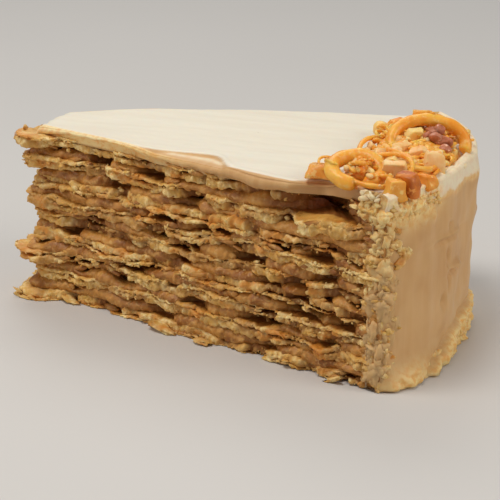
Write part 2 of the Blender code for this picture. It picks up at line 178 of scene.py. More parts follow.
def on_side(angle, inset, height):
    """A point near the round side, at an angle about the cake's centre."""
    return lifted(CENTRE + heading(angle) * side_radius(angle, inset), height)


FRONT_REACH = to_side(FRONT_ALONG, 0.0)


def on_front(inward, outward):
    """A plan point near the front cut's outer end: inward from the round side, and outward from the cut."""
    return APEX + FRONT_ALONG * (FRONT_REACH - inward) + FRONT_OUT * outward


# Shading

class Field:
    """A value in a shader. Arithmetic on it adds Math nodes."""

    def __init__(self, look, socket):
        self.look = look
        self.socket = socket

    def maths(self, operation, *values):
        return self.look.node("ShaderNodeMath", {"operation": operation}, dict(enumerate(values)))

    def __add__(self, other):
        return self.maths("ADD", self, other)

    def __sub__(self, other):
        return self.maths("SUBTRACT", self, other)

    def __mul__(self, other):
        return self.maths("MULTIPLY", self, other)

    def __rsub__(self, other):
        return self.maths("SUBTRACT", other, self)

    __radd__ = __add__
    __rmul__ = __mul__

    def between(self, low, high):
        """Nothing below low, one above high, and smooth between them."""
        values = {"Value": self, "From Min": low, "From Max": high}
        return self.look.node("ShaderNodeMapRange", {"interpolation_type": "SMOOTHSTEP"}, values)


class Look:
    """A procedural material: one Principled shader and the nodes that feed it."""

    def __init__(self, name, **fixed):
        self.material = bpy.data.materials.new(name)
        self.material.use_nodes = True
        self.tree = self.material.node_tree
        self.shader = self.tree.nodes["Principled BSDF"]
        for socket, value in fixed.items():
            self.shader.inputs[socket.replace("_", " ")].default_value = value
        self.place = self.node("ShaderNodeTexCoord", {}, {}, "Object")

    def node(self, kind, settings, values, output=0):
        """Add a node: its settings first, then the values or links of its sockets."""
        new = self.tree.nodes.new(kind)
        for name, value in settings.items():
            setattr(new, name, value)
        for socket, value in values.items():
            if isinstance(value, Field):
                self.tree.links.new(value.socket, new.inputs[socket])
            else:
                new.inputs[socket].default_value = value
        return Field(self, new.outputs[output])

    def attribute(self, name):
        """A value that the piece's own mesh carries."""
        return self.node("ShaderNodeAttribute", {"attribute_name": name}, {}, "Fac")

    def noise(self, scale, detail, roughness=0.55, stretch=(1.0, 1.0, 1.0), shift=0.0):
        """Noise in the piece's own metres; scale counts lumps in a metre."""
        values = {"Vector": self.place, "Scale": stretch, "Location": (shift,) * 3}
        spot = self.node("ShaderNodeMapping", {}, values)
        values = {"Vector": spot, "Scale": scale, "Detail": detail, "Roughness": roughness}
        return self.node("ShaderNodeTexNoise", {}, values)

    def blend(self, share, low, high):
        """A colour between two colours."""
        values = {0: share, 6: low, 7: high}
        return self.node("ShaderNodeMix", {"data_type": "RGBA"}, values, 2)

    def feed(self, socket, value):
        self.tree.links.new(value.socket, self.shader.inputs[socket])

    def relief(self, height, distance, strength):
        """Raise the surface by a height field, as bump."""
        values = {"Height": height, "Distance": distance, "Strength": strength}
        self.feed("Normal", self.node("ShaderNodeBump", {}, values))


def srgb(red, green, blue):
    """A colour given in screen values of 0 to 255."""
    def linear(value):
        value /= 255.0
        return value / 12.92 if value <= 0.04045 else ((value + 0.055) / 1.055) ** 2.4
    return (linear(red), linear(green), linear(blue), 1.0)


def pastry_look():
    """Baked sheets: golden faces, pale broken edges, toasted spots, darker where filling soaks in, with
    painted shade deep behind the rim and in creases.
    """
    look = Look("pastry_flakes", Subsurface_Weight=0.1, Subsurface_Scale=0.002,
                Subsurface_Radius=(1.0, 0.5, 0.2), Specular_IOR_Level=0.35)
    edge = look.attribute("edge")
    proud = look.attribute("proud")
    broad = look.noise(90.0, 3.0)
    fine = look.noise(600.0, 4.0, 0.65)
    face = look.blend(broad.between(0.38, 0.62), srgb(184, 120, 42), srgb(216, 162, 76))
    crumb = look.blend(fine.between(0.35, 0.65), srgb(216, 168, 84), srgb(248, 218, 154))
    patch = look.noise(140.0, 3.0, 0.6, shift=7.7).between(0.42, 0.60)
    colour = look.blend(edge.between(0.15, 0.8) * (patch * 0.7 + 0.3), face, crumb)
    toast = look.noise(110.0, 3.0, 0.6, (1.0, 1.0, 1.6), 3.1).between(0.52, 0.66) * 0.75
    colour = look.blend(toast, colour, srgb(214, 136, 48))
    damp = look.noise(75.0, 3.0, 0.6, (1.0, 1.0, 2.0), 9.2) * 0.7 - 0.35
    # Painted shade and soaking: where the mesh's proud value is low (set back behind the rim, in creases, in
    # the hollow) the colour goes to a dark brown, standing in for the shade there as well as for filling
    # soaking in.
    shade_and_soak = 1.0 - (proud + damp).between(0.18, 0.68)
    colour = look.blend(shade_and_soak * 0.9, colour, srgb(138, 80, 26))
    look.feed("Base Color", colour)
    look.feed("Roughness", broad * 0.7 + 0.22)
    pits = look.noise(1900.0, 3.0, 0.6)
    look.relief(fine * 0.7 + pits * 0.3, 0.0005, 0.6)
    return look.material


def filling_look():
    """Soft peanut filling: brown and damp-looking, with a soft sheen and a few paler smears; painted shade
    darkens it in the hollow under the icing.
    """
    look = Look("peanut_filling", Subsurface_Weight=0.12, Subsurface_Scale=0.002,
                Subsurface_Radius=(1.0, 0.45, 0.2), Specular_IOR_Level=0.5)
    broad = look.noise(120.0, 4.0)
    fine = look.noise(700.0, 3.0)
    smear = look.noise(260.0, 3.0, 0.55, (1.0, 1.0, 2.2), 4.4)
    colour = look.blend(broad.between(0.35, 0.65), srgb(152, 92, 30), srgb(200, 140, 62))
    colour = look.blend(smear.between(0.55, 0.72) * 0.6, colour, srgb(214, 164, 86))
    colour = look.blend(fine.between(0.52, 0.66) * 0.5, colour, srgb(218, 170, 100))
    # Painted shade: in the hollow under the icing, which the mesh's deep value marks, the filling is painted
    # a dark red-brown where the cavity lies in shade.
    colour = look.blend(look.attribute("deep"), colour, srgb(150, 68, 8))
    look.feed("Base Color", colour)
    look.feed("Roughness", broad * 0.3 + 0.36)
    look.relief(broad * 0.4 + fine * 0.6, 0.0009, 0.7)
    return look.material


def icing_look():
    """Peanut butter cream: tan on the side and rolled edge, painted pale on the smoothed top and the rim as
    painted sheen of the light from above, buttery on the rims.
    """
    look = Look("peanut_icing", Roughness=0.5, Subsurface_Weight=0.18, Subsurface_Scale=0.004,
                Subsurface_Radius=(1.0, 0.6, 0.35), Specular_IOR_Level=0.35)
    pale = look.attribute("pale")
    butter = look.attribute("butter")
    broad = look.noise(45.0, 3.0)
    strokes = look.noise(55.0, 4.0, 0.55, (0.25, 3.2, 1.0))
    streaks = look.noise(300.0, 4.0, 0.6, (1.0, 1.0, 0.05), 1.7)
    crumb = look.noise(520.0, 4.0, 0.65, shift=6.1)
    tan = look.blend(broad.between(0.3, 0.7), srgb(198, 150, 94), srgb(212, 168, 112))
    tan = look.blend(streaks.between(0.42, 0.62) * 0.22, tan, srgb(226, 188, 138))
    # Painted sheen: the top and rim are painted this pale, greyed cream in place of the side's tan, standing
    # in for the light from above falling on them.
    top = look.blend(strokes.between(0.3, 0.7), srgb(231, 221, 200), srgb(235, 227, 207))
    colour = look.blend(pale.between(0.05, 0.95), tan, top)
    mealy = look.blend(crumb.between(0.36, 0.6), srgb(246, 184, 94), srgb(255, 224, 154))
    colour = look.blend(butter, colour, mealy)
    pits = look.node("ShaderNodeTexVoronoi", {"feature": "F1"}, {"Vector": look.place, "Scale": 160.0})
    holes = 1.0 - pits.between(0.03, 0.10)
    picked = look.noise(60.0, 1.0, 0.5, shift=8.0).between(0.60, 0.64)
    spots = holes * picked * pale
    colour = look.blend(spots * 0.4, colour, srgb(196, 160, 112))
    look.feed("Base Color", colour)
    height = strokes * 0.3 + streaks * (1.0 - pale) * 0.22 + crumb * butter * 0.9 - spots * 0.6
    look.relief(height, 0.0006, 0.5)
    return look.material


def caramel_look(name, dark, light, sugar_and_glint):
    """Crisp noodles and glaze: sticky caramel with paler places, partly sugar and partly painted highlights.
    """
    look = Look(name, Subsurface_Weight=0.4, Subsurface_Scale=0.002, Subsurface_Radius=(1.0, 0.5, 0.2),
                Coat_Weight=0.12, Coat_Roughness=0.2, Specular_IOR_Level=0.4)
    broad = look.noise(170.0, 3.0)
    fine = look.noise(800.0, 3.0)
    colour = look.blend(broad.between(0.35, 0.65), dark, light)
    # Painted highlight: fine pale spots in the third colour, partly sugar and partly standing in for glints
    # of light.
    colour = look.blend(fine.between(0.52, 0.70) * 0.55, colour, sugar_and_glint)
    look.feed("Base Color", colour)
    look.feed("Roughness", fine * 0.35 + 0.26)
    look.relief(broad * 0.5 + fine * 0.5, 0.0006, 0.5)
    return look.material


def nut_look(name, body, tint, skin_and_glint):
    """Chopped nuts under glaze: creamy inside, with spots of a third colour in places: darker skins on the
    blond and clear nuts, paler spots on the others, and pale pink painted highlights on the roast nuts.
    """
    look = Look(name, Subsurface_Weight=0.3, Subsurface_Scale=0.003, Subsurface_Radius=(1.0, 0.6, 0.3),
                Coat_Weight=0.08, Coat_Roughness=0.25, Specular_IOR_Level=0.4)
    broad = look.noise(220.0, 3.0)
    spots = look.noise(420.0, 3.0, 0.6, shift=5.0)
    colour = look.blend(broad.between(0.35, 0.65), body, tint)
    # The third colour is darker skins on some kinds, and on the roast nuts a painted highlight.
    colour = look.blend(spots.between(0.58, 0.66) * 0.8, colour, skin_and_glint)
    look.feed("Base Color", colour)
    look.feed("Roughness", broad * 0.3 + 0.3)
    look.relief(broad * 0.4 + spots * 0.6, 0.0006, 0.7)
    return look.material


def chopped_looks():
    """The materials of the chopped kinds in the heap."""
    return {
        "blond": nut_look("blond_nuts", srgb(244, 196, 110), srgb(250, 214, 138), srgb(236, 168, 74)),
        "clear": nut_look("clear_nuts", srgb(244, 190, 116), srgb(252, 212, 152), srgb(238, 160, 78)),
        "amber": nut_look("amber_nuts", srgb(246, 184, 84), srgb(238, 158, 52), srgb(252, 212, 130)),
        "toffee": nut_look("toffee_bits", srgb(244, 166, 66), srgb(232, 140, 34), srgb(250, 204, 124)),
        "roasted": nut_look("roasted_brittle", srgb(214, 122, 30), srgb(170, 82, 8), srgb(236, 164, 74)),
        # The roast nuts' pale pink third colour is a painted highlight.
        "roast": nut_look("roast_nuts", srgb(204, 134, 102), srgb(164, 92, 58), srgb(248, 206, 180)),
    }


# Making pieces

def finish_piece(name, bm, material, slot, *nodes):
    """Turn a bmesh into a smooth-shaded piece that rides on the slice and stands for some of its solids."""
    for vertex in bm.verts:
        vertex.co.z = max(vertex.co.z, BASE_LEVEL)
    mesh = bpy.data.meshes.new(name)
    bm.to_mesh(mesh)
    bm.free()
    mesh.shade_smooth()
    mesh.materials.append(material)
    piece = bpy.data.objects.new(name, mesh)
    bpy.context.scene.collection.objects.link(piece)
    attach(piece, "root")
    if nodes:
        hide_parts(*nodes)


def join(whole, part):
    """Add a small bmesh to a large one. Each shape is made alone, as operators slow down in a large bmesh."""
    scrap = bpy.data.meshes.new("scrap")
    part.to_mesh(scrap)
    part.free()
    whole.from_mesh(scrap)
    bpy.data.meshes.remove(scrap)


def mark(bm, **values):
    """Give loose bits the same shading values all over."""
    for name, value in values.items():
        layer = bm.verts.layers.float.new(name)
        for vertex in bm.verts:
            vertex[layer] = value


def add_disc(bm, around, rings, shape):
    """A closed round shell. shape places a vertex from its column and its signed ring from the rim."""
    made = bmesh.ops.create_grid(bm, x_segments=around, y_segments=rings, size=0.5)
    pole = rings // 2
    for vertex in made["verts"]:
        ring = round((vertex.co.y + 0.5) * rings) - pole
        column = 0 if abs(ring) == pole else round((vertex.co.x + 0.5) * around) % around
        shape(vertex, column, ring)
    bmesh.ops.remove_doubles(bm, verts=made["verts"], dist=1e-7)


# The layers' outline, as places that follow each other once round: front cut, round side, back cut, tip

AROUND = 1100
FRONT_PART = 0.50
SIDE_PART = 0.06
BACK_PART = 0.35
FRONT, BACK = 0, 1
TIP_BULGE = 0.002
TIP_FADE = 0.016
POLE = plan(0.022, 0.0)

# The layers end behind the side icing, and at the cuts they reach out over its end
LAYER_INSET = SIDE_ICING + 2.5 * GAP
END_COVER = 0.4 * MM
END_FROM = 0.82

# Facings are evened out over this many places each way. A rim's rings need room, which runs short at the tip
FACING_SPAN = AROUND // 110
CUT_RISE = 60.0
LEAF_ROOM = 0.008
NARROWEST = 0.0075

# A place: its plan point, the direction out, which cut, its share of the cut's length from the tip,
# how much it belongs to the tip and to a cut, and how much room there is behind its rim
Place = namedtuple("Place", "point out side share tip cut room")


def edge_spot(along_edge, share):
    """A point of a cut's edge. The layers' ends reach over the end of the side icing, nearly to its face."""
    full = to_side(along_edge, LAYER_INSET)
    along = mix(TIP_CUT, to_side(along_edge, END_COVER), share)
    return bowed(APEX + along_edge * along), min(1.0, (along - TIP_CUT) / (full - TIP_CUT))


def outline_spot(turn):
    """Plan point of the layers' outline, with its side and share of the length."""
    if turn < FRONT_PART:
        point, share = edge_spot(FRONT_ALONG, turn / FRONT_PART)
        return point, FRONT, share
    turn -= FRONT_PART
    if turn < SIDE_PART:
        across = 2.0 * turn / SIDE_PART - 1.0
        direction = heading(HALF_ANGLE * across)
        inset = mix(LAYER_INSET, END_COVER, smooth((abs(across) - END_FROM) / (1.0 - END_FROM)))
        return bowed(APEX + direction * to_side(direction, inset)), FRONT, 1.0
    turn -= SIDE_PART
    if turn < BACK_PART:
        point, share = edge_spot(BACK_ALONG, 1.0 - turn / BACK_PART)
        return point, BACK, share
    turn = (turn - BACK_PART) / (1.0 - FRONT_PART - SIDE_PART - BACK_PART)
    direction = heading(HALF_ANGLE * (1.0 - 2.0 * turn))
    return APEX + direction * (TIP_CUT - TIP_BULGE * math.sin(math.pi * turn)), FRONT, 0.0


def make_outline():
    """Places round the nominal outline, with smoothed directions in which the cut faces."""
    spots = [outline_spot(step / AROUND) for step in range(AROUND)]
    facings = []
    for step in range(AROUND):
        run = spots[(step + 1) % AROUND][0] - spots[step - 1][0]
        facings.append(Vector((run.y, -run.x)).normalized())
    middle = FRONT_PART + SIDE_PART / 2.0
    places = []
    for step, (point, side, share) in enumerate(spots):
        out = Vector((0.0, 0.0))
        for other in range(step - FACING_SPAN, step + FACING_SPAN + 1):
            out += facings[other % AROUND]
        tip = smooth(1.0 - ((point - APEX).length - TIP_CUT) / TIP_FADE)
        cut = smooth((abs(step / AROUND - middle) - SIDE_PART / 2.0) * CUT_RISE)
        half_width = max(abs(point.y - SHIFT.y), NARROWEST)
        room = min(1.0, 0.55 * half_width / LEAF_ROOM)
        places.append(Place(point, out.normalized(), side, share, tip, cut, room))
    return places


class Level:
    """A height that rises and falls a little along the cuts, the same as in the solids."""

    def __init__(self, height, swing, seed):
        draw = random.Random(seed)
        self.height = height
        self.waves = [[(rate, draw.uniform(0.0, math.tau), swing * size) for rate, size in WAVES]
                      for _ in (FRONT, BACK)]

    def at(self, place):
        fade = smooth(place.share * 6.0) * smooth((1.0 - place.share) * 8.0)
        return self.height + fade * sum(size * math.sin(rate * math.tau * place.share + phase)
                                        for rate, phase, size in self.waves[place.side])


def sheet_levels(number):
    """Lower and upper face of one pastry sheet."""
    base = PITCH * (number - 1)
    under = 0.0 if number == 1 else WAVE
    over = 0.0 if number in (SHEETS - 1, SHEETS) else WAVE
    return Level(base, under, 10 * number), Level(base + PITCH * SHEET_SHARE, over, 10 * number + 5)


def hollow_share(place):
    """How near a place's share of the length is to the middle of the break, from 0 to 1."""
    return bump(place.share, HOLLOW_PLACE, HOLLOW_HALF_WIDTH)


def hollow(place):
    """How far the topmost sheet is broken back under the icing at a place, from 0 to 1."""
    return hollow_share(place) if place.side == FRONT and place.cut >= 0.5 else 0.0


def torn(point, seed):
    """A broken rim's reach: broad sweeps, bites, and ragged crumbs."""
    spot = point.to_3d()
    reach = grains(spot, seed, (1.4, 15), (1.3, 6), (0.9, 2.6), (0.4, 1.1))
    return MM * (reach - 10.0 * max(0.0, grain(spot, 8 * MM, seed + 4) - 0.18))


def sag(point, number):
    """How far a sheet's rim rises or droops at a place."""
    return MM * grains(point.to_3d(), 7 * number, (1.5, 22), (1.0, 7))


# Rings of a layer: how deep behind the rim each lies, and how full its half thickness is there
RING_DEPTHS = tuple(depth * MM for depth in (0.0, 0.08, 0.3, 0.65, 1.1, 1.7, 2.6, 4.0, 6.5))
RINGS = 2 * (len(RING_DEPTHS) + 1)
LEAF_SHOULDERS = (0.0, 0.42, 0.70, 0.88, 0.97, 1.0)
CREAM_SHOULDERS = (0.0, 0.36, 0.68, 0.88, 0.97, 1.0)
MIDDLE_DEPTH = 0.05


def at_ring(values, step, beyond):
    """A value that is listed for the outer rings, or the one for all rings beyond them."""
    return values[step] if step < len(values) else beyond


def ring_plan(place, step, out):
    """Plan point of a ring: step 0 is the rim, then inward, and the last steps run to the middle."""
    if step < len(RING_DEPTHS):
        keep = 1.0 - smooth(step / len(RING_DEPTHS)) * 0.5
        return place.point + place.out * (out * keep - RING_DEPTHS[step] * place.room)
    inner = place.point - place.out * (RING_DEPTHS[-1] * place.room)
    return mix(inner, POLE, (step - len(RING_DEPTHS) + 1) / 2.0)


# Pastry

# The leaves of a sheet from below: place in the sheet's height, share of its thickness, and reach
Leaf = namedtuple("Leaf", "level thick reach")
THIN_OVER = (Leaf(0.34, 0.66, -0.1 * MM), Leaf(0.86, 0.26, 0.4 * MM))
THIN_UNDER = (Leaf(0.14, 0.28, 0.3 * MM), Leaf(0.62, 0.68, 0.0))

# The topmost sheet stays behind the icing, except at the tip, where its far half is drawn back
COVERED_REACH = 0.8 * MM
TIP_FROM = 0.4
TIP_DRAWN_BACK = 7.5 * MM

# The lowest that a leaf's underside may lie, and how much higher its upper face stays
LOWEST = 0.2 * MM
LOWEST_THICK = 0.1 * MM


def leaf_rim(place, number, seed, leaf, levels):
    """A leaf's rim at a place: its reach out of the cut, half thickness, middle height and curl."""
    spot = place.point.to_3d()
    ragged = 0.65 * torn(place.point, 7 * number) + 0.6 * torn(place.point, seed)
    out = place.cut * (leaf.reach + ragged * (1.0 - 0.6 * place.tip))
    out += TIP_REACH[number - 1] * place.tip * (0.8 + 0.5 * grain(spot, 6 * MM, seed + 6))
    half = PITCH * SHEET_SHARE * leaf.thick / 2.0
    half *= 1.0 + 0.6 * grain(spot, 16 * MM, seed + 11) + 0.8 * grain(spot, 6 * MM, seed + 7)
    half *= 1.0 + 0.3 * grain(spot, 2.2 * MM, seed + 10) + 0.25 * place.tip
    middle = mix(levels[0].at(place), levels[1].at(place), leaf.level)
    curl = place.cut * (sag(place.point, number) + 0.35 * MM * grain(spot, 9 * MM, seed + 8))
    if number == SHEETS:
        if place.tip < TIP_FROM:
            out = min(out, COVERED_REACH) - HOLLOW_DEPTH * hollow(place)
        far_half = smooth((place.point.y - SHIFT.y + 6.5 * MM) / (6.0 * MM))
        out -= TIP_DRAWN_BACK * place.tip * far_half
        curl = max(curl, 0.0) * 0.6 + 1.3 * MM * smooth(1.0 - place.share / 0.32) * place.cut
    if number == SHEETS - 1 and place.side == FRONT:
        slab = hollow_share(place) * place.cut
        out += 1.2 * MM * slab
        half *= 1.0 + 0.9 * slab
        curl -= 1.0 * MM * slab
    return out, half, middle, curl - 0.06 * max(0.0, out)


def add_leaf(bm, places, number, order, leaf, spots):
    """One thin leaf of a sheet: a disc over the whole plan with a torn rim that curls a little."""
    seed = 40 * number + 13 * order
    levels = sheet_levels(number)
    rims = [leaf_rim(place, number, seed, leaf, levels) for place in places]
    for place, (out, _, middle, curl) in zip(places, rims):
        if place.cut > 0.9:
            spots.append((lifted(place.point + place.out * out, middle + curl), place.out))
    edge_of = bm.verts.layers.float["edge"]
    proud_of = bm.verts.layers.float["proud"]

    def shape(vertex, column, ring):
        place = places[column]
        out, half, middle, curl = rims[column]
        step = abs(ring)
        face = (ring > 0) - (ring < 0)
        point = ring_plan(place, step, out)
        thick = half * at_ring(LEAF_SHOULDERS, step, 1.0)
        depth = at_ring(RING_DEPTHS, step, MIDDLE_DEPTH)
        spot = lifted(point, middle + thick * face)
        height = middle + curl * math.exp(-depth / (5.0 * MM)) + abs(thick) * face
        puff = popcorn(lifted(spot, 1.8 * spot.z), 3.2 * MM, seed + 2)
        if depth < 5 * MM:
            fade = math.exp(-depth / (2.5 * MM))
            swell = (0.35 + 0.7 * leaf.thick) * (puff - 0.35) + 0.35 * grain(spot, 0.9 * MM, seed + 5)
            point += place.out * (swell * MM * place.cut * fade)
            height += MM * (0.4 * grain(spot, 1.8 * MM, seed + 4) + 0.25 * grain(spot, 0.8 * MM, seed + 9))
            height += 0.35 * MM * abs(puff - 0.3) * face
        vertex.co = lifted(point, max(height, LOWEST + LOWEST_THICK * (ring > 0)))
        vertex[edge_of] = math.exp(-depth / (1.2 * MM)) * (1.0 - 0.7 * place.tip) + 0.8 * place.tip
        # Painted shade: proud, which darkens the pastry where it is low, falls along the front cut towards
        # the round side, where the cut face lies in more shade. It also falls deep behind the rim and in the
        # hollow under the icing, as painted shade that is partly soaking. At the tip it rises, painted
        # lighter where the sheets' upper faces catch the light.
        shade_along_cut = 0.14 * smooth(place.share * 1.5 - 0.5) if place.side == FRONT else 0.0
        rise = 0.35 * (puff - 0.35) + (out - depth + 1.0 * MM) / (5.0 * MM)
        if number == SHEETS:
            rise -= hollow(place)
        if number == SHEETS - 1:
            rise += 0.9 * hollow(place) * smooth(2.2 - depth / (3.0 * MM))
        vertex[proud_of] = min(1.0, max(0.0, 0.55 - shade_along_cut + rise + 0.5 * place.tip))

    add_disc(bm, len(places), RINGS, shape)


def build_sheets(places, material):
    """Each pastry sheet is two leaves that have come apart at their rims. Gives the spots along all rims."""
    spots = []
    for number in range(1, SHEETS + 1):
        bm = bmesh.new()
        bm.verts.layers.float.new("edge")
        bm.verts.layers.float.new("proud")
        for order, leaf in enumerate(THIN_UNDER if number % 3 == 1 else THIN_OVER):
            add_leaf(bm, places, number, order, leaf, spots)
        finish_piece(f"sheet_{number}", bm, material, "pastry", f"pastry_{number}")
    return spots


# Filling

# Where it has pulled back or sunk along the front cut: layer, share and half width of the cut's length,
# then depth and drop of its top in millimetres
GAPS = (
    (6, 0.74, 0.05, 7, 1.0), (5, 0.88, 0.05, 6, 1.0), (4, 0.86, 0.06, 6, 1.0), (5, 0.48, 0.05, 6, 0.8),
    (2, 0.68, 0.06, 6, 1.0), (1, 0.40, 0.06, 5, 1.0), (6, 0.40, 0.06, 8, 0.4), (6, 0.54, 0.09, 7, 0.8),
    (5, 0.66, 0.07, 7, 0.6), (7, 0.25, 0.06, 7, 0.4), (4, 0.72, 0.06, 5, 1.0), (3, 0.30, 0.06, 5, 1.0),
    (6, 0.86, 0.06, 7, 0.8), (8, 0.20, 0.05, 8, 0.8), (8, 0.36, 0.06, 8, 0.8), (2, 0.50, 0.06, 5, 1.0),
    (3, 0.82, 0.08, 6, 1.0), (1, 0.72, 0.06, 4, 1.0), (5, 0.17, 0.06, 6, 0.8), (4, 0.10, 0.05, 6, 1.0),
    (3, 0.93, 0.05, 5, 1.2), (7, 0.48, 0.05, 5, 1.2), (4, 0.45, 0.06, 4, 1.4), (2, 0.90, 0.05, 4, 1.2),
)
MOST_SUNK = 2.7 * MM
SWELL_RINGS = 7


def cream_rim(place, number, seed, lower, upper):
    """The filling's rim at a place: its reach out of the cut, and its lower and upper face."""
    spot = place.point.to_3d()
    out = -0.3 * MM + MM * grains(spot, seed, (1.2, 11), (0.5, 4))
    sunk = 2.2 * MM * smooth(2.4 * grain(spot, 9 * MM, seed + 4) - 0.3)
    for layer, share, half_width, depth, drop in GAPS:
        if layer == number and place.side == FRONT:
            here = bump(place.share, share, half_width)
            out -= depth * MM * here
            sunk += drop * MM * here
    out = place.cut * out + TIP_REACH[number - 1] * 0.5 * place.tip
    if number == SHEETS - 1 and place.tip < TIP_FROM:
        out -= HOLLOW_DEPTH * hollow(place)
    bend = place.cut * 0.5
    low = lower.at(place) - 0.6 * MM + bend * sag(place.point, number)
    high = upper.at(place) + 0.6 * MM + bend * sag(place.point, number + 1)
    return out, low, high - min(place.cut * sunk, MOST_SUNK)


def add_cream(bm, places, number):
    """One layer of filling, which bulges between two sheets and has lumps in it."""
    seed = 500 + 11 * number
    lower = sheet_levels(number)[1]
    upper = sheet_levels(number + 1)[0]
    rims = [cream_rim(place, number, seed, lower, upper) for place in places]
    hollow_shade_of = bm.verts.layers.float.new("deep")

    def shape(vertex, column, ring):
        place = places[column]
        out, low, high = rims[column]
        step = abs(ring)
        face = (ring > 0) - (ring < 0)
        point = ring_plan(place, step, out)
        thick = abs((high - low) / 2.0 * at_ring(CREAM_SHOULDERS, step, 1.0))
        spot = lifted(point, (low + high) / 2.0 + thick * face)
        if step < SWELL_RINGS:
            swell = grains(spot, seed + 2, (0.8, 4), (0.5, 1.6))
            swell += 0.5 * popcorn(spot, 2.4 * MM, seed + 5) - 0.2
            overhung = 0.4 * max(0, ring)
            point += place.out * ((swell - overhung) * MM * place.cut)
        vertex.co = lifted(point, spot.z)
        # The deep value marks the hollow for its painted shade.
        if number == SHEETS - 1:
            vertex[hollow_shade_of] = hollow(place)

    add_disc(bm, len(places), RINGS, shape)


def build_filling(places, material):
    for number in range(1, SHEETS):
        bm = bmesh.new()
        add_cream(bm, places, number)
        finish_piece(f"cream_{number}", bm, material, "filling", f"filling_{number}")


# Icing

# Its skin is a grid: rows from the tip over the top, the rim and down the side, columns from cut to cut
TOP, RIM, SIDE = range(3)
TOP_ROWS = 150
RIM_ROWS = 26
SIDE_ROWS = 84
EDGE_COLUMNS = 26
BODY_COLUMNS = 116

# The rim: a soft ridge inside it, and a rounded edge that takes up the last part of its rows
RIM_WIDE = 4.5 * MM
RIM_RADIUS = 1.3 * MM
RIM_RIDGE = 1.9 * MM
RIDGE_INSET = 1.9 * MM
RIDGE_HALF_WIDTH = 2.4 * MM
RIM_FLAT = 0.6
SIDE_TOP = HEIGHT - RIM_RADIUS + 0.6 * MM
FLOOR_CLEAR = 0.6 * MM

# The rolled lip over the cuts, from its lowest turn round to the top, and where on the top it ends
LIP_OUT = 2.4 * MM
ROLL_FROM = -62.0
ROLL_TALL = 1.88
LIP_END = 0.95
NOSE_LONG = 2.6 * MM
NOSE_DROP = 1.7 * MM

# Over the hollow the icing is broken back, and the break fades with the distance from the cut
BREAK_DEPTH = 5.5 * MM
BREAK_FADE = 9.0 * MM

END_THICK = 7.5 * MM

# The foot that stands out at the front outer corner
FOOT_ANGLE = math.radians(-20.0)
FOOT_WIDTH = math.radians(5.0)
FOOT_OUT = 5.2 * MM
FOOT_HEIGHT = 8.5 * MM

# Marks on the round side: angle in degrees and height, width in degrees and height of the mark, and push,
# in millimetres
SIDE_MARKS = (
    (-9.2, 40.5, 0.5, 0.8, -1.3), (-9.0, 37.8, 5.0, 0.45, 0.7), (-9.0, 36.6, 5.0, 0.6, -0.6),
    (-9.4, 31.0, 0.5, 2.4, -1.8), (-8.6, 24.0, 0.5, 3.0, -1.7), (-10.5, 19.0, 0.6, 2.2, -1.3),
    (-6.5, 27.5, 2.2, 1.0, 1.4), (-5.5, 25.6, 3.0, 1.1, -1.2), (4.0, 28.0, 1.2, 6.0, -1.2),
    (12.0, 36.0, 4.0, 0.9, 0.8),
)


def over_hollow(share):
    """Where the rolled edge runs thin, over the break in the topmost sheet."""
    return smooth((share - 0.77) / 0.07) * smooth((1.0 - share) / 0.05)


def lip_thickness(share, strength):
    """Thickness of the icing's rolled edge along a cut: thin at the tip, heaviest past the middle."""
    thin = mix(1.0, 2.1, smooth(share * 1.9 - 0.1))
    swell = 2.1 * bump(share, 0.69, 0.13)
    lobe = 1.8 * bump(share, 0.0, 0.12)
    return MM * (thin + strength * (swell + lobe - 1.5 * over_hollow(share)))


def lip_inset(share):
    """How far inside the front cut the white top ends, where the lip has folded over and sagged."""
    folded = 4.4 * smooth((share - 0.28) / 0.25) + 4.0 * smooth((share - 0.36) / 0.20)
    folded *= 1.0 - smooth((share - 0.50) / 0.11)
    return MM * (folded + 1.4 * bump(share, 0.83, 0.07))


def ridge(inset):
    return RIM_RIDGE * bump(inset, RIDGE_INSET, RIDGE_HALF_WIDTH)


def rim_profile(share):
    """Inset from the round side and height over the top, from the ridge's inner foot over the rim."""
    if share < RIM_FLAT:
        inset = mix(RIM_WIDE, RIM_RADIUS, share / RIM_FLAT)
        return inset, ridge(inset)
    turn = (share - RIM_FLAT) / (1.0 - RIM_FLAT) * math.pi / 2.0
    return RIM_RADIUS * (1.0 - math.sin(turn)), ridge(RIM_RADIUS) - RIM_RADIUS * (1.0 - math.cos(turn))


def icing_row(row):
    """Zone of a row and its share of that zone."""
    if row < TOP_ROWS:
        return TOP, row / TOP_ROWS
    if row < TOP_ROWS + RIM_ROWS:
        return RIM, (row - TOP_ROWS) / RIM_ROWS
    return SIDE, (row - TOP_ROWS - RIM_ROWS) / SIDE_ROWS


def icing_tip(spread):
    """How far from the apex the icing starts, across the tip."""
    ragged = noise.noise(Vector((spread * 5.0, 7.7, 0.3)))
    return TIP_CUT + MM * (0.6 - 2.0 * math.sin(math.pi * spread) + ragged)


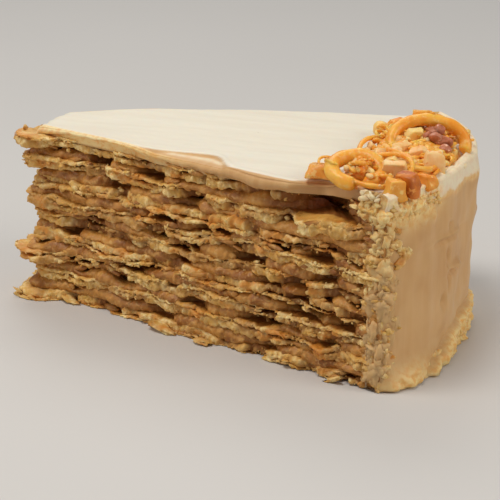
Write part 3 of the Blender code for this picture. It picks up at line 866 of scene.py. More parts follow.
def side_relief(angle, height, spot):
    """Push of the round side's face at an angle and height, with the crumbly foot's and corner's shares."""
    level = height / MM
    across = math.degrees(angle)
    push = 1.5 * grain(lifted(spot, height * 0.25), 17 * MM, 65) + 0.8 * grain(spot, 7 * MM, 70)
    push += 0.06 * grain(lifted(spot, height * 0.1), 1.6 * MM, 66)
    for middle, mark_level, wide, tall, depth in SIDE_MARKS:
        push += 1.5 * depth * math.exp(-((across - middle) / wide) ** 2 - ((level - mark_level) / tall) ** 2)
    crumbly_top = 8.5 * smooth((across + 19.0) / 14.0) + 1.6 * grain(lifted(spot, 0.0), 10 * MM, 77)
    low = smooth((crumbly_top - level) / 1.4)
    crease = math.exp(-((level - crumbly_top - 0.5) / 0.8) ** 2) * smooth((across + 19.0) / 6.0)
    push += low * (0.4 + 1.8 * popcorn(spot, 5 * MM, 67) + 0.7 * popcorn(spot, 2.2 * MM, 68)) - 1.2 * crease
    foot = math.exp(-((angle - FOOT_ANGLE) / FOOT_WIDTH) ** 2)
    foot *= smooth(1.0 - (height - FLOOR_CLEAR) / FOOT_HEIGHT)
    lumps = 0.6 + 0.4 * popcorn(spot, 4.5 * MM, 69) + 0.15 * popcorn(spot, 2 * MM, 62)
    push += FOOT_OUT / MM * foot * lumps
    corner = smooth((-9.0 - across) / 7.0) * smooth(0.85 + 0.9 * grain(spot, 5 * MM, 78))
    push += 1.5 * corner * smooth((height - 42 * MM) / (5 * MM)) * (popcorn(spot, 3 * MM, 80) - 0.3)
    return push * MM, max(low, foot), corner


def top_relief(share, spread, along, spot):
    """Height of the smoothed top at a spot, with how pale it is painted as sheen and how buttery it is there.
    """
    height = spot.z + MM * grains(spot, 61, (0.35, 22), (0.06, 3))
    height += 0.6 * MM * smooth(spread * 2.0 - 0.6) * math.sin(math.pi * min(1.0, share))
    inset = lip_inset(share)
    past_lip = along * spread * 2.0 * HALF_ANGLE - inset
    # Painted sheen: the top is painted pale inward of the line where the lip has folded over.
    pale = smooth(past_lip / (0.8 * MM) + 1.0)
    height -= 0.9 * MM * (1.0 - smooth(past_lip / (1.6 * MM) + 1.0))
    height += 0.25 * MM * math.exp(-((past_lip - 0.6 * MM) / (0.7 * MM)) ** 2)
    fold = bump((past_lip + inset) / max(inset, 0.1 * MM), 0.5, 0.46)
    fold *= smooth((inset - 1.5 * MM) / (2.0 * MM))
    height += 0.35 * MM * fold
    nose = min(1.0, max(0.0, 1.0 - (along - icing_tip(spread)) / NOSE_LONG))
    height -= NOSE_DROP * (1.0 - math.sqrt(1.0 - nose * nose))
    # The fold's ridge is painted pale too, a painted highlight along it.
    return height, max(pale, 0.65 * fold), 0.35 * fold if share < 0.6 else 0.0


def icing_body(row, spread, inside):
    """A point of the icing away from its cut ends, with how pale it is painted as sheen and how buttery it is
    there.
    """
    zone, share = icing_row(row)
    direction = heading(HALF_ANGLE * (2.0 * spread - 1.0))
    far = to_side(direction, 0.0)
    along, height = far, HEIGHT
    broken = Vector((0.0, 0.0))
    if zone == TOP:
        along = mix(icing_tip(spread), far - RIM_WIDE, share)
        from_front = along * spread * 2.0 * HALF_ANGLE
        broken = FRONT_OUT * (-BREAK_DEPTH * over_hollow(share) * math.exp(-from_front / BREAK_FADE))
    elif zone == RIM:
        inset, rise = rim_profile(share)
        along -= inset
        height += rise
    else:
        height = mix(SIDE_TOP, FLOOR_CLEAR, share)
    point = bowed(APEX + direction * along) + broken
    if inside and zone == SIDE:
        return lifted(point - direction * SIDE_ICING, min(height, HEIGHT - ICING_TOP)), 0.0, 0.0
    if inside:
        back = bowed(APEX + direction * min(along, far - SIDE_ICING)) + broken
        return lifted(back, HEIGHT - ICING_TOP - 0.4 * MM), 0.0, 0.0
    spot = lifted(point, height)
    if zone == TOP:
        height, pale, butter = top_relief(share, spread, along, spot)
        return lifted(point, height), pale, butter
    if zone == RIM:
        height += MM * grains(spot, 61, (0.35, 22), (0.06, 3))
        height += bump(share, 0.4, 0.6) * MM * grains(spot, 63, (0.6, 6), (0.4, 2.0))
    spoke = (point - CENTRE).normalized()
    push, low, corner = side_relief(math.atan2(spoke.y, spoke.x), height, spot)
    if zone == RIM:
        point += spoke * (push * smooth((share - 0.6) * 2.5) * 0.4)
        crest = 0.5 * smooth((share - 0.75) * 4.0)
        # The rim is painted fully pale, as painted sheen.
        return lifted(point, height), 1.0, max(0.35 * smooth(share * 3.0), corner * crest)
    point += spoke * (push * smooth(share * 8.0 + 0.4))
    from_edge = min(spread, 1.0 - spread) * 2.0 * HALF_ANGLE * far
    rounding = smooth(1.0 - from_edge / (5.0 * MM)) ** 2 * (1.0 if spread < 0.5 else 0.4)
    down = smooth(share * 5.0)
    rounding *= down * 6.0 / (1.0 + 5.0 * down) * MM
    point -= spoke * (rounding * (1.7 + grain(spot, 6 * MM, 79)))
    below = (HEIGHT - height) / MM + grains(spot, 83, (1.4, 7), (0.8, 2))
    # Painted sheen: the side's top few millimetres below the rim are painted pale like the top.
    pale = 1.0 - smooth((below - 2.6) / 1.6)
    crust = bump(below, 3.9, 2.2)
    crest = bump(share, 0.03, 0.19)
    return lifted(point, height), pale, max(0.8 * low, 0.5 * crust, 0.3 * pale, corner * crest)


def rolled_lip(body, spread, share, around, inside):
    """A point of the lip that rolls over a cut, from under it (around 0) up to the top (around 1)."""
    edge, strength = (FRONT_OUT, 1.0) if spread < 0.5 else (BACK_OUT, 0.6)
    spot = lifted(body, HEIGHT)
    ragged = grains(spot, 71, (0.35, 9), (0.45, 3.2)) + 0.25 * grain(spot, 1.4 * MM, 70)
    thick = lip_thickness(share, strength) + MM * ragged * smooth(share * 6.0)
    lip_out = LIP_OUT * mix(0.45, 1.0, smooth(thick / (5.0 * MM))) * (1.0 + 0.3 * grain(spot, 9 * MM, 73))
    lip_out *= 1.0 + 0.45 * bump(share, 0.67, 0.09) - 0.3 * bump(share, 0.42, 0.16)
    lip_out *= 1.0 - 0.5 * strength * over_hollow(share)
    if inside:
        out = lip_out * 0.2 * (1.0 - around)
        down = mix(thick * 0.93, ICING_TOP, around)
    else:
        turn = math.radians(mix(ROLL_FROM, 90.0, around))
        fold = 0.22 * lip_out * math.exp(-((turn - 0.62 - 0.5 * grain(spot, 26 * MM, 74)) / 0.11) ** 2)
        out = (lip_out - fold) * math.cos(turn)
        down = thick / ROLL_TALL * (1.0 - math.sin(turn))
    return Vector((body.x + edge.x * out, body.y + edge.y * out, body.z - down))


def end_wall(body, row, spread, around, inside):
    """A point of the crumbly face in which the side icing ends at a cut."""
    edge = FRONT_OUT if spread < 0.5 else BACK_OUT
    if inside:
        return icing_body(row, spread, True)[0] + (edge * -END_THICK).to_3d()
    zone, share = icing_row(row)
    wall = max(0.0, min(1.0, (1.0 - around) * 1.25))
    inward = heading(HALF_ANGLE * (2.0 * spread - 1.0)) * (-SIDE_ICING * wall)
    rough = MM * (1.2 * grain(body, 4.5 * MM, 75 + 7 * around) + 0.7 * grain(body, 1.5 * MM, 76))
    recess = MM * (mix(0.5, 5.0, smooth(share * 5.0)) if zone == SIDE else 0.5)
    swell = 0.5 * MM * math.sin(math.pi * min(1.0, wall + 0.12))
    swell += (rough * (1.0 - 0.8 * wall) - recess) * smooth(wall * 2.5)
    return body + (inward + edge * swell).to_3d()


def icing_end(row, spread, around, inside):
    """A point of the icing's cut end: a rolled lip along the top, a crumbly face down the side."""
    zone, share = icing_row(row)
    body, pale, butter = icing_body(row, spread, False)
    if inside:
        pale = 0.0
    lip = rolled_lip(body, spread, share if zone == TOP else 1.0, around, inside)
    if zone == TOP and share < LIP_END:
        creamy = 1.0 - smooth((share - 0.25) / 0.3)
        # Painted sheen: on the lip only the upper part, where it turns to face up, is painted pale.
        upper = smooth((around - mix(-0.2, 0.80, smooth(share * 2.2))) * 6.0)
        return lip, pale * upper, 0.7 * creamy
    blend = smooth((share - LIP_END) * 20.0) if zone == TOP else 1.0
    place = mix(lip, end_wall(body, row, spread, around, inside), blend)
    # On the cut end only its upper edge is painted pale, as painted sheen.
    return place, pale * smooth((around - 0.8) * 6.0), max(butter, 0.55 * blend * (1.0 - around))


def build_icing(material):
    """One skin over the top and down the round side, with its cut ends."""
    rows = TOP_ROWS + RIM_ROWS + SIDE_ROWS
    columns = 2 * EDGE_COLUMNS + BODY_COLUMNS
    bm = bmesh.new()
    bmesh.ops.create_grid(bm, x_segments=rows, y_segments=columns, size=0.5)
    row_of = bm.verts.layers.int.new("row")
    column_of = bm.verts.layers.int.new("column")
    pale_of = bm.verts.layers.float.new("pale")
    butter_of = bm.verts.layers.float.new("butter")
    for vertex in bm.verts:
        vertex[row_of] = round((vertex.co.x + 0.5) * rows)
        vertex[column_of] = round((vertex.co.y + 0.5) * columns)
    outer = list(bm.verts)
    grown = bmesh.ops.extrude_face_region(bm, geom=bm.faces[:])
    inner = [item for item in grown["geom"] if isinstance(item, bmesh.types.BMVert)]
    for group, inside in ((outer, False), (inner, True)):
        for vertex in group:
            row = vertex[row_of]
            column = vertex[column_of]
            if column < EDGE_COLUMNS:
                made = icing_end(row, 0.0, column / EDGE_COLUMNS, inside)
            elif column > columns - EDGE_COLUMNS:
                made = icing_end(row, 1.0, (columns - column) / EDGE_COLUMNS, inside)
            else:
                made = icing_body(row, (column - EDGE_COLUMNS) / BODY_COLUMNS, inside)
            vertex.co, vertex[pale_of], vertex[butter_of] = made
    bmesh.ops.recalc_face_normals(bm, faces=bm.faces)
    finish_piece("icing_coat", bm, material, "icing", "icing")


# Topping

# The heap follows the round side, between two angles about the cake's centre
HEAP_FIRST = math.radians(-23.5)
HEAP_LAST = math.radians(12.5)
HEAP_RADIUS = 0.1040
HEAP_HALF_WIDTH = 0.0132
NOODLE_RADIUS = 1.75 * MM

# The heap's two mounds: middle, widths along both axes, and height, in metres
MOUNDS = (
    ((0.0440, -0.0345), (0.0105, 0.0110), 0.0046),
    ((0.0515, 0.0030), (0.0115, 0.0160), 0.0058),
)

# Each noodle: middle, radii of its curl, lean back, turn, first angle and sweep, in millimetres and degrees,
# and its thickness as a share of the usual one
NOODLES = (
    ((44.0, -38.5, 58.3), (6.5, 5.6), 26, 18, -75, 345, 1.15),
    ((55.6, -2.5, 57.9), (11.0, 8.5), 52, 26, -15, 245, 1.05),
    ((52.8, 9.0, 57.6), (7.6, 6.5), 68, 12, 0, 180, 0.62),
    ((46.5, -27.5, 58.2), (11.0, 8.0), 14, -28, 10, 95, 0.42),
    ((49.5, -34.5, 58.0), (9.5, 8.0), 22, -18, 0, 150, 0.4),
    ((46.5, -10.5, 58.0), (8.5, 11.0), 10, 0, 70, 190, 0.42),
    ((50.5, 14.5, 57.8), (9.0, 8.0), 12, 40, -10, 230, 0.4),
    ((57.0, -25.0, 57.4), (5.5, 9.0), -12, 0, -85, 150, 0.5),
    ((50.5, -40.5, 56.0), (7.5, 4.0), 0, 12, 185, 140, 0.4),
)
STRANDS = 190

# Chopped pieces that show from a step away: middle, half size in millimetres, kind
CHUNKS = (
    ((56.4, -1.0, 61.6), 2.1, "roast"), ((60.2, -3.8, 60.0), 2.4, "roast"),
    ((58.4, -0.6, 62.6), 1.7, "roast"), ((61.6, -6.4, 58.8), 1.6, "roast"),
    ((55.2, -3.6, 61.0), 1.5, "roast"), ((58.0, -4.6, 61.0), 1.8, "roast"),
    ((36.5, 18.0, 56.6), 2.2, "blond"), ((40.2, 11.5, 56.6), 1.8, "blond"),
    ((50.5, -18.5, 59.4), 2.0, "clear"), ((46.8, -24.0, 59.6), 2.2, "clear"),
    ((56.0, 8.5, 62.6), 1.6, "amber"), ((45.6, -37.5, 56.8), 2.6, "amber"),
    ((55.0, -14.0, 58.6), 2.2, "clear"), ((52.0, -28.5, 59.4), 2.2, "blond"),
    ((60.0, -12.0, 57.6), 2.2, "amber"),
)
CHUNK_SCALE = 1.1

# Cut blocks of brittle: middle, half size, turn and tilt in degrees, kind
BLOCKS = (
    ((34.2, -35.6, 56.3), (4.2, 3.2, 1.9), 12, -6, "toffee"),
    ((57.1, -46.3, 56.4), (2.4, 2.2, 2.6), 35, 8, "amber"),
    ((59.3, -43.2, 57.4), (3.0, 2.3, 3.2), -20, 14, "roasted"),
    ((61.6, -33.6, 56.0), (3.4, 1.7, 2.0), -30, 10, "toffee"),
    ((61.8, -21.7, 57.6), (3.0, 2.4, 3.6), 22, -4, "clear"),
    ((54.2, -36.6, 59.2), (3.4, 1.7, 2.4), 8, 24, "clear"),
    ((51.8, -3.6, 60.6), (2.6, 1.4, 2.2), 30, 20, "blond"),
    ((40.6, 20.8, 57.2), (2.2, 1.9, 2.0), 40, 6, "toffee"),
    ((51.7, 4.4, 64.9), (2.7, 1.6, 1.5), 15, -8, "amber"),
    ((55.2, 3.4, 64.9), (0.8, 0.8, 1.9), 10, 12, "toffee"),
    ((50.0, -12.5, 58.8), (3.2, 1.4, 1.8), 60, 18, "clear"),
    ((55.5, -27.5, 58.6), (2.8, 1.3, 1.6), -50, -16, "clear"),
)

# How many small chopped bits of each kind lie over the heap
SMALL_BITS = {"blond": 90, "clear": 110, "amber": 60, "toffee": 60, "roast": 6, "roasted": 10}


def heap_height(place):
    """How high the heap's mounds rise at a plan place."""
    height = 0.0
    for middle, (wide, long), tall in MOUNDS:
        offset = place - plan(*middle)
        height += tall * math.exp(-((offset.x / wide) ** 2 + (offset.y / long) ** 2))
    return height


def heap_middle(share):
    """Plan point of the heap's middle line."""
    return CENTRE + heading(mix(HEAP_FIRST, HEAP_LAST, share)) * HEAP_RADIUS


def across_heap(share, reach):
    """Plan point beside the heap's middle line, by a share of its half width."""
    line = heap_middle(share)
    return line + (line - CENTRE).normalized() * reach * HEAP_HALF_WIDTH


def build_bed(material):
    """The sticky caramel mound under the noodles."""
    bm = bmesh.new()
    around, rings = 160, 60

    def shape(vertex, column, ring):
        turn = column / around * math.tau
        share = abs(ring) / (rings / 2.0)
        reach = math.cos(share * math.pi / 2.0)
        place = across_heap(0.5 + 0.5 * math.sin(turn) * reach, math.cos(turn) * reach)
        height = HEIGHT - 0.2 * MM
        if ring > 0:
            lumps = MM * grains(place.to_3d(), 81, (1.6, 4), (0.9, 1.8))
            height += smooth(share * 1.7) * (2.7 * MM + heap_height(place) * 0.85 + lumps)
            height = max(height, HEIGHT + 0.1 * MM)
        vertex.co = lifted(place, height)

    add_disc(bm, around, rings, shape)
    bmesh.ops.recalc_face_normals(bm, faces=bm.faces)
    finish_piece("caramel_bed", bm, material, "topping", "topping")


def noodle_tube(whole, points, radius, seed, sides=14):
    """A tube along points with a waxing and waning thickness and rounded ends."""
    count = len(points)
    bm = bmesh.new()
    made = bmesh.ops.create_uvsphere(bm, u_segments=sides, v_segments=count + 1, radius=1.0)
    frames = []
    for step in range(count):
        run = (points[min(step + 1, count - 1)] - points[max(step - 1, 0)]).normalized()
        side = run.cross(UP)
        side = side.normalized() if side.length > 0.05 else Vector((1.0, 0.0, 0.0))
        frames.append((run, side, side.cross(run)))
    for vertex in made["verts"]:
        ring = round(math.acos(max(-1.0, min(1.0, vertex.co.z))) / math.pi * (count + 1))
        step = min(count - 1, max(0, ring - 1))
        run, side, over = frames[step]
        if ring in (0, count + 1):
            vertex.co = points[step] + run * (radius * 0.35 * (-1.0 if ring == 0 else 1.0))
            continue
        turn = math.atan2(vertex.co.y, vertex.co.x)
        spoke = side * math.cos(turn) + over * math.sin(turn)
        from_end = min(step, count - 1 - step)
        swell = radius * math.sin(min(1.0, (from_end + 0.55) / 2.5) * math.pi / 2.0)
        swell *= 1.0 + grains(points[step] + spoke * radius, seed, (0.22, 4.5), (0.10, 1.6))
        vertex.co = points[step] + spoke * swell
    join(whole, bm)


def noodle_points(middle, radii, lean, turn, start, sweep, seed):
    """Points along one wandering curl, which stays on the icing."""
    pose = turned(math.radians(turn), math.radians(lean))
    length = math.radians(abs(sweep)) * (radii[0] + radii[1]) / 2.0
    count = max(8, round(length / 0.7))
    points = []
    for step in range(count + 1):
        angle = math.radians(start + sweep * step / count)
        curl = Vector((radii[0] * math.cos(angle), radii[1] * math.sin(angle), 0.4 * math.sin(2.3 * angle)))
        point = (Vector(middle) + pose @ curl) * MM
        wander = Vector([grain(point, 9 * MM, seed + axis) for axis in range(3)])
        point += wander * 0.6 * MM
        height = max(point.z, HEIGHT + NOODLE_RADIUS * 0.8)
        points.append(lifted(plan(point.x, point.y), height))
    return points


def build_noodles(material):
    """The thick noodles at their own places, and thin strands over the heap."""
    bm = bmesh.new()
    for number, (*curl, size) in enumerate(NOODLES):
        points = noodle_points(*curl, 700 + 5 * number)
        noodle_tube(bm, points, NOODLE_RADIUS * size, 800 + 3 * number)
    draw = random.Random(17)
    for number in range(STRANDS):
        place = across_heap(draw.uniform(0.02, 0.98), draw.uniform(-0.85, 0.85))
        height = HEIGHT + 2.2 * MM + heap_height(place) * draw.uniform(0.6, 1.05)
        middle = lifted(place - SHIFT, height) / MM
        radii = (draw.uniform(2.0, 4.6), draw.uniform(2.0, 4.6))
        points = noodle_points(middle, radii, draw.uniform(-20, 20), draw.uniform(0, 360),
                               draw.uniform(0, 360), draw.uniform(60, 150), 900 + number)
        noodle_tube(bm, points, NOODLE_RADIUS * draw.uniform(0.2, 0.5), 950 + number, 7)
    finish_piece("caramel_noodles", bm, material, "topping", "topping")


def add_lump(whole, middle, size, draw, seed, subdivisions):
    """A chopped piece: a ball with flat broken faces, then roughened."""
    bm = bmesh.new()
    made = bmesh.ops.create_icosphere(bm, subdivisions=subdivisions, radius=1.0)
    planes = [Vector((draw.gauss(0, 1), draw.gauss(0, 1), draw.gauss(0, 1))).normalized() for _ in range(6)]
    limits = [draw.uniform(0.5, 0.8) for _ in planes]
    pose = turned(draw.uniform(0.0, math.tau), draw.uniform(-0.9, 0.9))
    stretch = Vector((draw.uniform(0.85, 1.3), draw.uniform(0.8, 1.1), draw.uniform(0.7, 1.0)))
    for vertex in made["verts"]:
        spot = vertex.co.copy()
        for facing, limit in zip(planes, limits):
            over = spot.dot(facing) - limit
            if over > 0.0:
                spot -= facing * over * 0.92
        spot *= 1.0 + 0.08 * grain(spot, 0.5, seed)
        vertex.co = middle + pose @ (spot * stretch) * size
    join(whole, bm)


def add_block(whole, middle, half, turn, tilt, seed):
    """A cut block: a box with worn edges and an uneven skin."""
    bm = bmesh.new()
    bmesh.ops.create_cube(bm, size=2.0)
    bmesh.ops.bevel(bm, geom=bm.edges[:], offset=0.3, segments=2, profile=0.6, affect="EDGES")
    bmesh.ops.subdivide_edges(bm, edges=bm.edges[:], cuts=2, use_grid_fill=True)
    pose = turned(math.radians(turn), math.radians(tilt))
    for vertex in bm.verts:
        spot = vertex.co * (1.0 + 0.3 * grain(vertex.co, 1.1, seed) + 0.12 * grain(vertex.co, 0.5, seed + 1))
        narrow = 1.0 - 0.14 * spot.z
        vertex.co = middle + pose @ (spot * half * Vector((narrow, narrow, 1.0)))
    join(whole, bm)


def build_chunks(looks):
    """The larger chopped pieces at their own places, and small ones over the heap, by kind."""
    draw = random.Random(31)
    for kind in looks:
        bm = bmesh.new()
        for number, (middle, size, own_kind) in enumerate(CHUNKS):
            if own_kind == kind:
                add_lump(bm, spot_mm(*middle), size * MM * CHUNK_SCALE, draw, 20 + number, 4)
        for number, (middle, half, turn, tilt, own_kind) in enumerate(BLOCKS):
            if own_kind == kind:
                add_block(bm, spot_mm(*middle), Vector(half) * MM, turn, tilt, 200 + 3 * number)
        for number in range(SMALL_BITS[kind]):
            place = across_heap(draw.uniform(0.0, 1.0), draw.uniform(-0.95, 0.95))
            height = HEIGHT + 1.8 * MM + heap_height(place) * draw.uniform(0.6, 1.15)
            size = draw.uniform(0.5, 1.5) * MM
            add_lump(bm, lifted(place, height), size, draw, 60 + number, 2)
        finish_piece(f"nuts_{kind}", bm, looks[kind], "topping", "topping")


# Crumbs and flakes

# How many cling to the torn rims
RIM_CRUMBS = 3600
RIM_CHIPS = 140
RIM_FLAKES = 420
RIM_SMEARS = 190

# Flakes that stick out at the base of the front cut: place and half length in millimetres
FOOT_FLAKES = ((-14.9, -27.0, 5.0), (-1.2, -32.6, 3.2), (42.5, -47.6, 2.6), (-50.5, -13.6, 3.0))

# Flakes stuck to the side icing beside the corner: angle in degrees, height and half length in millimetres
STUCK_FLAKES = (
    (-23.4, 41.5, 2.2), (-22.4, 39.6, 2.0), (-21.4, 37.6, 2.2), (-22.6, 36.2, 2.4), (-20.6, 39.0, 1.6),
    (-23.8, 27.0, 1.6), (-24.0, 17.5, 1.6), (-23.4, 45.5, 1.4),
)

ALONG = FRONT_ALONG.to_3d()


def add_crumb(whole, middle, size, draw):
    """A small crumb with uneven corners."""
    bm = bmesh.new()
    pose = Matrix.Rotation(draw.uniform(0.0, math.tau), 3, Vector((draw.gauss(0, 1), draw.gauss(0, 1), 0.4)))
    made = bmesh.ops.create_icosphere(bm, subdivisions=1, radius=1.0)
    stretch = Vector((draw.uniform(0.6, 1.4), draw.uniform(0.6, 1.2), draw.uniform(0.4, 0.9)))
    for vertex in made["verts"]:
        vertex.co = middle + pose @ (vertex.co * draw.uniform(0.7, 1.15) * stretch) * size
    join(whole, bm)


def add_flake(whole, middle, length, draw):
    """A thin curled chip."""
    bm = bmesh.new()
    made = bmesh.ops.create_icosphere(bm, subdivisions=2, radius=1.0)
    pose = turned(draw.uniform(0.0, math.tau), draw.gauss(0.0, 0.3))
    pose = pose @ Matrix.Rotation(draw.gauss(0.0, 0.25), 3, "Y")
    wide = draw.uniform(0.4, 0.9)
    thin = draw.uniform(0.10, 0.18)
    curl = draw.uniform(-0.35, 0.35)
    ragged = draw.uniform(0.0, 50.0)
    for vertex in made["verts"]:
        spot = vertex.co
        reach = 1.0 + 0.35 * noise.noise(Vector((spot.x * 1.7, spot.y * 1.7, ragged)))
        shaped = Vector((spot.x * reach, spot.y * wide * reach, spot.z * thin + curl * spot.x * spot.x))
        vertex.co = middle + pose @ shaped * length
    join(whole, bm)


def add_blob(whole, middle, along, size, draw, rough, subdivisions=2):
    """A soft or crumbly lump, longest in the direction along."""
    bm = bmesh.new()
    made = bmesh.ops.create_icosphere(bm, subdivisions=subdivisions, radius=1.0)
    level = along.cross(UP).normalized()
    shift = draw.uniform(0.0, 60.0)
    tilt = draw.gauss(0.0, 0.22)
    for vertex in made["verts"]:
        lump = 1.0 + rough * grain(vertex.co, 0.9, shift) + 0.6 * rough * grain(vertex.co, 0.4, shift + 1)
        spot = vertex.co * lump
        rise = spot.z * size[2] + tilt * spot.x * size[0]
        vertex.co = middle + (along * (spot.x * size[0]) + level * (spot.y * size[1]) + UP * rise)
    join(whole, bm)


def beside(spot, out, draw, reach, rise, lowest):
    """A random place near a rim's spot: how far outward and upward, from and to in millimetres."""
    middle = spot + out.to_3d() * draw.uniform(*reach) * MM + UP * draw.uniform(*rise) * MM
    middle.z = max(middle.z, lowest)
    return middle


def build_crumbs(pastry, filling, spots):
    """Crumbs, flakes and smears that cling to the torn rims."""
    draw = random.Random(77)
    bm = bmesh.new()
    for _ in range(RIM_CRUMBS):
        spot, out = draw.choice(spots)
        size = draw.uniform(0.2, 0.5) * MM * draw.uniform(0.7, 1.3)
        add_crumb(bm, beside(spot, out, draw, (-0.6, 0.2), (-0.8, 0.8), size), size, draw)
    mark(bm, edge=0.9, proud=0.75)
    finish_piece("crumbs", bm, pastry, "pastry")

    bm = bmesh.new()
    for _ in range(RIM_CHIPS):
        spot, out = draw.choice(spots)
        length = draw.uniform(0.7, 1.9) * MM
        add_flake(bm, beside(spot, out, draw, (-0.8, 0.2), (-0.7, 0.7), length), length, draw)
    for x, y, length in FOOT_FLAKES:
        size = Vector((length, 0.45 * length, 0.7)) * MM
        add_blob(bm, spot_mm(x, y, 1.0), ALONG, size, draw, 0.6, 3)
    for _ in range(RIM_FLAKES):
        spot, out = draw.choice(spots)
        size = drawn(draw, (0.6, 1.7), (0.5, 0.9), (0.5, 0.9))
        middle = beside(spot, out, draw, (-1.3, -0.5), (-1.6, 1.0), size.z)
        add_blob(bm, middle, UP.cross(out.to_3d()), size, draw, 0.55)
    mark(bm, edge=0.8, proud=0.8)
    finish_piece("flakes", bm, pastry, "pastry")

    bm = bmesh.new()
    for _ in range(RIM_SMEARS):
        spot, out = draw.choice(spots)
        size = drawn(draw, (1.2, 4.0), (0.6, 1.0), (0.4, 1.1))
        middle = beside(spot, out, draw, (-1.4, -0.5), (-2.4, 1.6), size.z)
        add_blob(bm, middle, UP.cross(out.to_3d()), size, draw, 0.3)
    finish_piece("smears", bm, filling, "filling")


# The corner where the front cut meets the side icing, with its rim and its foot

def corner_spot(draw, low, high, spread):
    """A random place near the corner: on the cut's end, or a little way round on the side."""
    while True:
        height = draw.uniform(low, high) * MM
        inward = draw.gauss(2.6, spread) * MM
        if grain(Vector((inward, 0.0, height)), 5 * MM, 55) > draw.uniform(-0.5, 0.25):
            break
    if inward > 0.6 * MM:
        return lifted(on_front(inward, draw.uniform(-2.6, -0.6) * MM), height)
    corner = on_front(0.0, 0.0) - CENTRE
    direction = heading(math.atan2(corner.y, corner.x) + (0.6 * MM - inward + 0.8 * MM) / CAKE_RADIUS)
    return lifted(CENTRE + direction * (CAKE_RADIUS - draw.uniform(0.5, 1.3) * MM), height)


def add_icing_crumbs(material, draw):
    """Crumbs of icing on the corner, under the lip, along the rim and at the foot of the side."""
    bm = bmesh.new()
    for _ in range(40):
        size = drawn(draw, (0.7, 1.6), (0.6, 1.1), (0.7, 1.4))
        add_blob(bm, corner_spot(draw, 1.5, 51.0, 2.4), ALONG, size, draw, 0.5)
    for _ in range(90):
        size = drawn(draw, (0.7, 2.0), (0.7, 1.4), (0.7, 1.5))
        inward = draw.uniform(0.0, 9.0) * MM
        outward = draw.uniform(-3.6, -0.8) * MM + max(0.0, 4.0 * MM - inward) * 0.5
        point = on_front(inward + 1.0 * MM, outward)
        add_blob(bm, lifted(point, HEIGHT - draw.uniform(1.2, 6.5) * MM), ALONG, size, draw, 0.5)
    for _ in range(120):
        angle = math.radians(draw.triangular(-24.0, -12.0, -22.0))
        size = draw.uniform(0.3, 0.95) * MM
        middle = on_side(angle, 0.4 * MM * draw.uniform(-1.0, 1.0), HEIGHT - draw.uniform(1.0, 6.0) * MM)
        add_blob(bm, middle, ALONG, (size, size, size * 0.8), draw, 0.5)
    for _ in range(50):
        angle = math.radians(draw.uniform(-17.0, 20.0))
        size = draw.uniform(0.4, 1.1) * MM
        middle = on_side(angle, -draw.uniform(0.0, 1.2) * MM, draw.uniform(1.0, 6.0) * MM)
        add_blob(bm, middle, round_way(angle), (1.6 * size, 0.8 * size, size), draw, 0.5)
    # The icing crumbs are painted a little pale, as painted sheen.
    mark(bm, pale=0.15, butter=0.75)
    finish_piece("icing_crumbs", bm, material, "icing")


def add_corner_cream(material, draw, extra):
    """Soft cream down the corner, and where it closes the joints in both ends of the icing."""
    bm = bmesh.new()
    for _ in range(60):
        size = drawn(draw, (1.2, 3.0), (1.2, 1.8), (1.0, 3.2))
        middle = corner_spot(draw, 3.0, 49.0, 1.6)
        add_blob(bm, middle - ALONG * 0.6 * MM, ALONG, size, draw, 0.6, 3)
    for _ in range(44):
        angle = math.radians(draw.uniform(-24.8, -22.0))
        size = Vector((draw.uniform(1.2, 2.6), 1.2, draw.uniform(1.4, 3.6))) * MM
        middle = on_side(angle, draw.uniform(1.0, 1.7) * MM, draw.uniform(4.0, 46.0) * MM)
        add_blob(bm, middle, round_way(angle), size, draw, 0.45, 3)
    for step in range(10):
        point = on_front(extra.uniform(1.6, 4.2) * MM, -extra.uniform(0.2, 1.4) * MM)
        size = Vector((extra.uniform(1.2, 2.0), 1.3, extra.uniform(0.9, 1.5))) * MM
        add_blob(bm, lifted(point, (39.5 + step) * MM), ALONG, size, extra, 0.6, 3)
    for row in range(TOP_ROWS - 4, TOP_ROWS + RIM_ROWS, 2):
        point = icing_end(row, 1.0, 0.4, False)[0].to_2d() - BACK_OUT * 0.8 * MM
        for lower in (0.9, 2.2, 3.4):
            middle = lifted(point, HEIGHT - lower * MM)
            add_blob(bm, middle, BACK_ALONG.to_3d(), Vector((1.6, 1.2, 1.2)) * MM, extra, 0.35)
    mark(bm, pale=0.0)
    butter_of = bm.verts.layers.float.new("butter")
    for vertex in bm.verts:
        vertex[butter_of] = mix(0.05, 0.55, smooth((vertex.co.z - 28.0 * MM) / (14.0 * MM)))
    finish_piece("corner_cream", bm, material, "icing")


def add_rim_lumps(material, draw, extra):
    """Buttery lumps on the rim of the top."""
    bm = bmesh.new()
    for _ in range(60):
        angle = math.radians(draw.triangular(-24.3, 19.0, -22.0))
        size = draw.uniform(0.4, 1.3) * MM
        middle = on_side(angle, draw.uniform(0.8, 3.4) * MM, HEIGHT + draw.uniform(0.2, 0.9) * MM)
        add_blob(bm, middle, round_way(angle), (1.7 * size, size, 0.7 * size), draw, 0.4)
    for _ in range(9):
        inward = draw.uniform(0.5, 8.0) * MM
        point = on_front(inward + 1.0 * MM, draw.uniform(-1.6, 0.6) * MM)
        size = drawn(draw, (0.8, 1.8), (0.6, 1.1), (0.5, 0.9))
        add_blob(bm, lifted(point, HEIGHT + draw.uniform(-0.6, 0.8) * MM), ALONG, size, draw, 0.4)
    for _ in range(26):
        size = extra.uniform(0.8, 1.5) * MM
        angle = math.radians(extra.uniform(-24.2, -14.0))
        middle = on_side(angle, extra.uniform(0.7, 2.0) * MM, HEIGHT + extra.uniform(-0.2, 0.5) * MM)
        add_blob(bm, middle, round_way(angle), (2.0 * size, size, 0.8 * size), extra, 0.4)
    # The rim's lumps are painted mostly pale, as painted sheen on the rim.
    mark(bm, pale=0.75, butter=0.55)
    finish_piece("rim_lumps", bm, material, "icing")


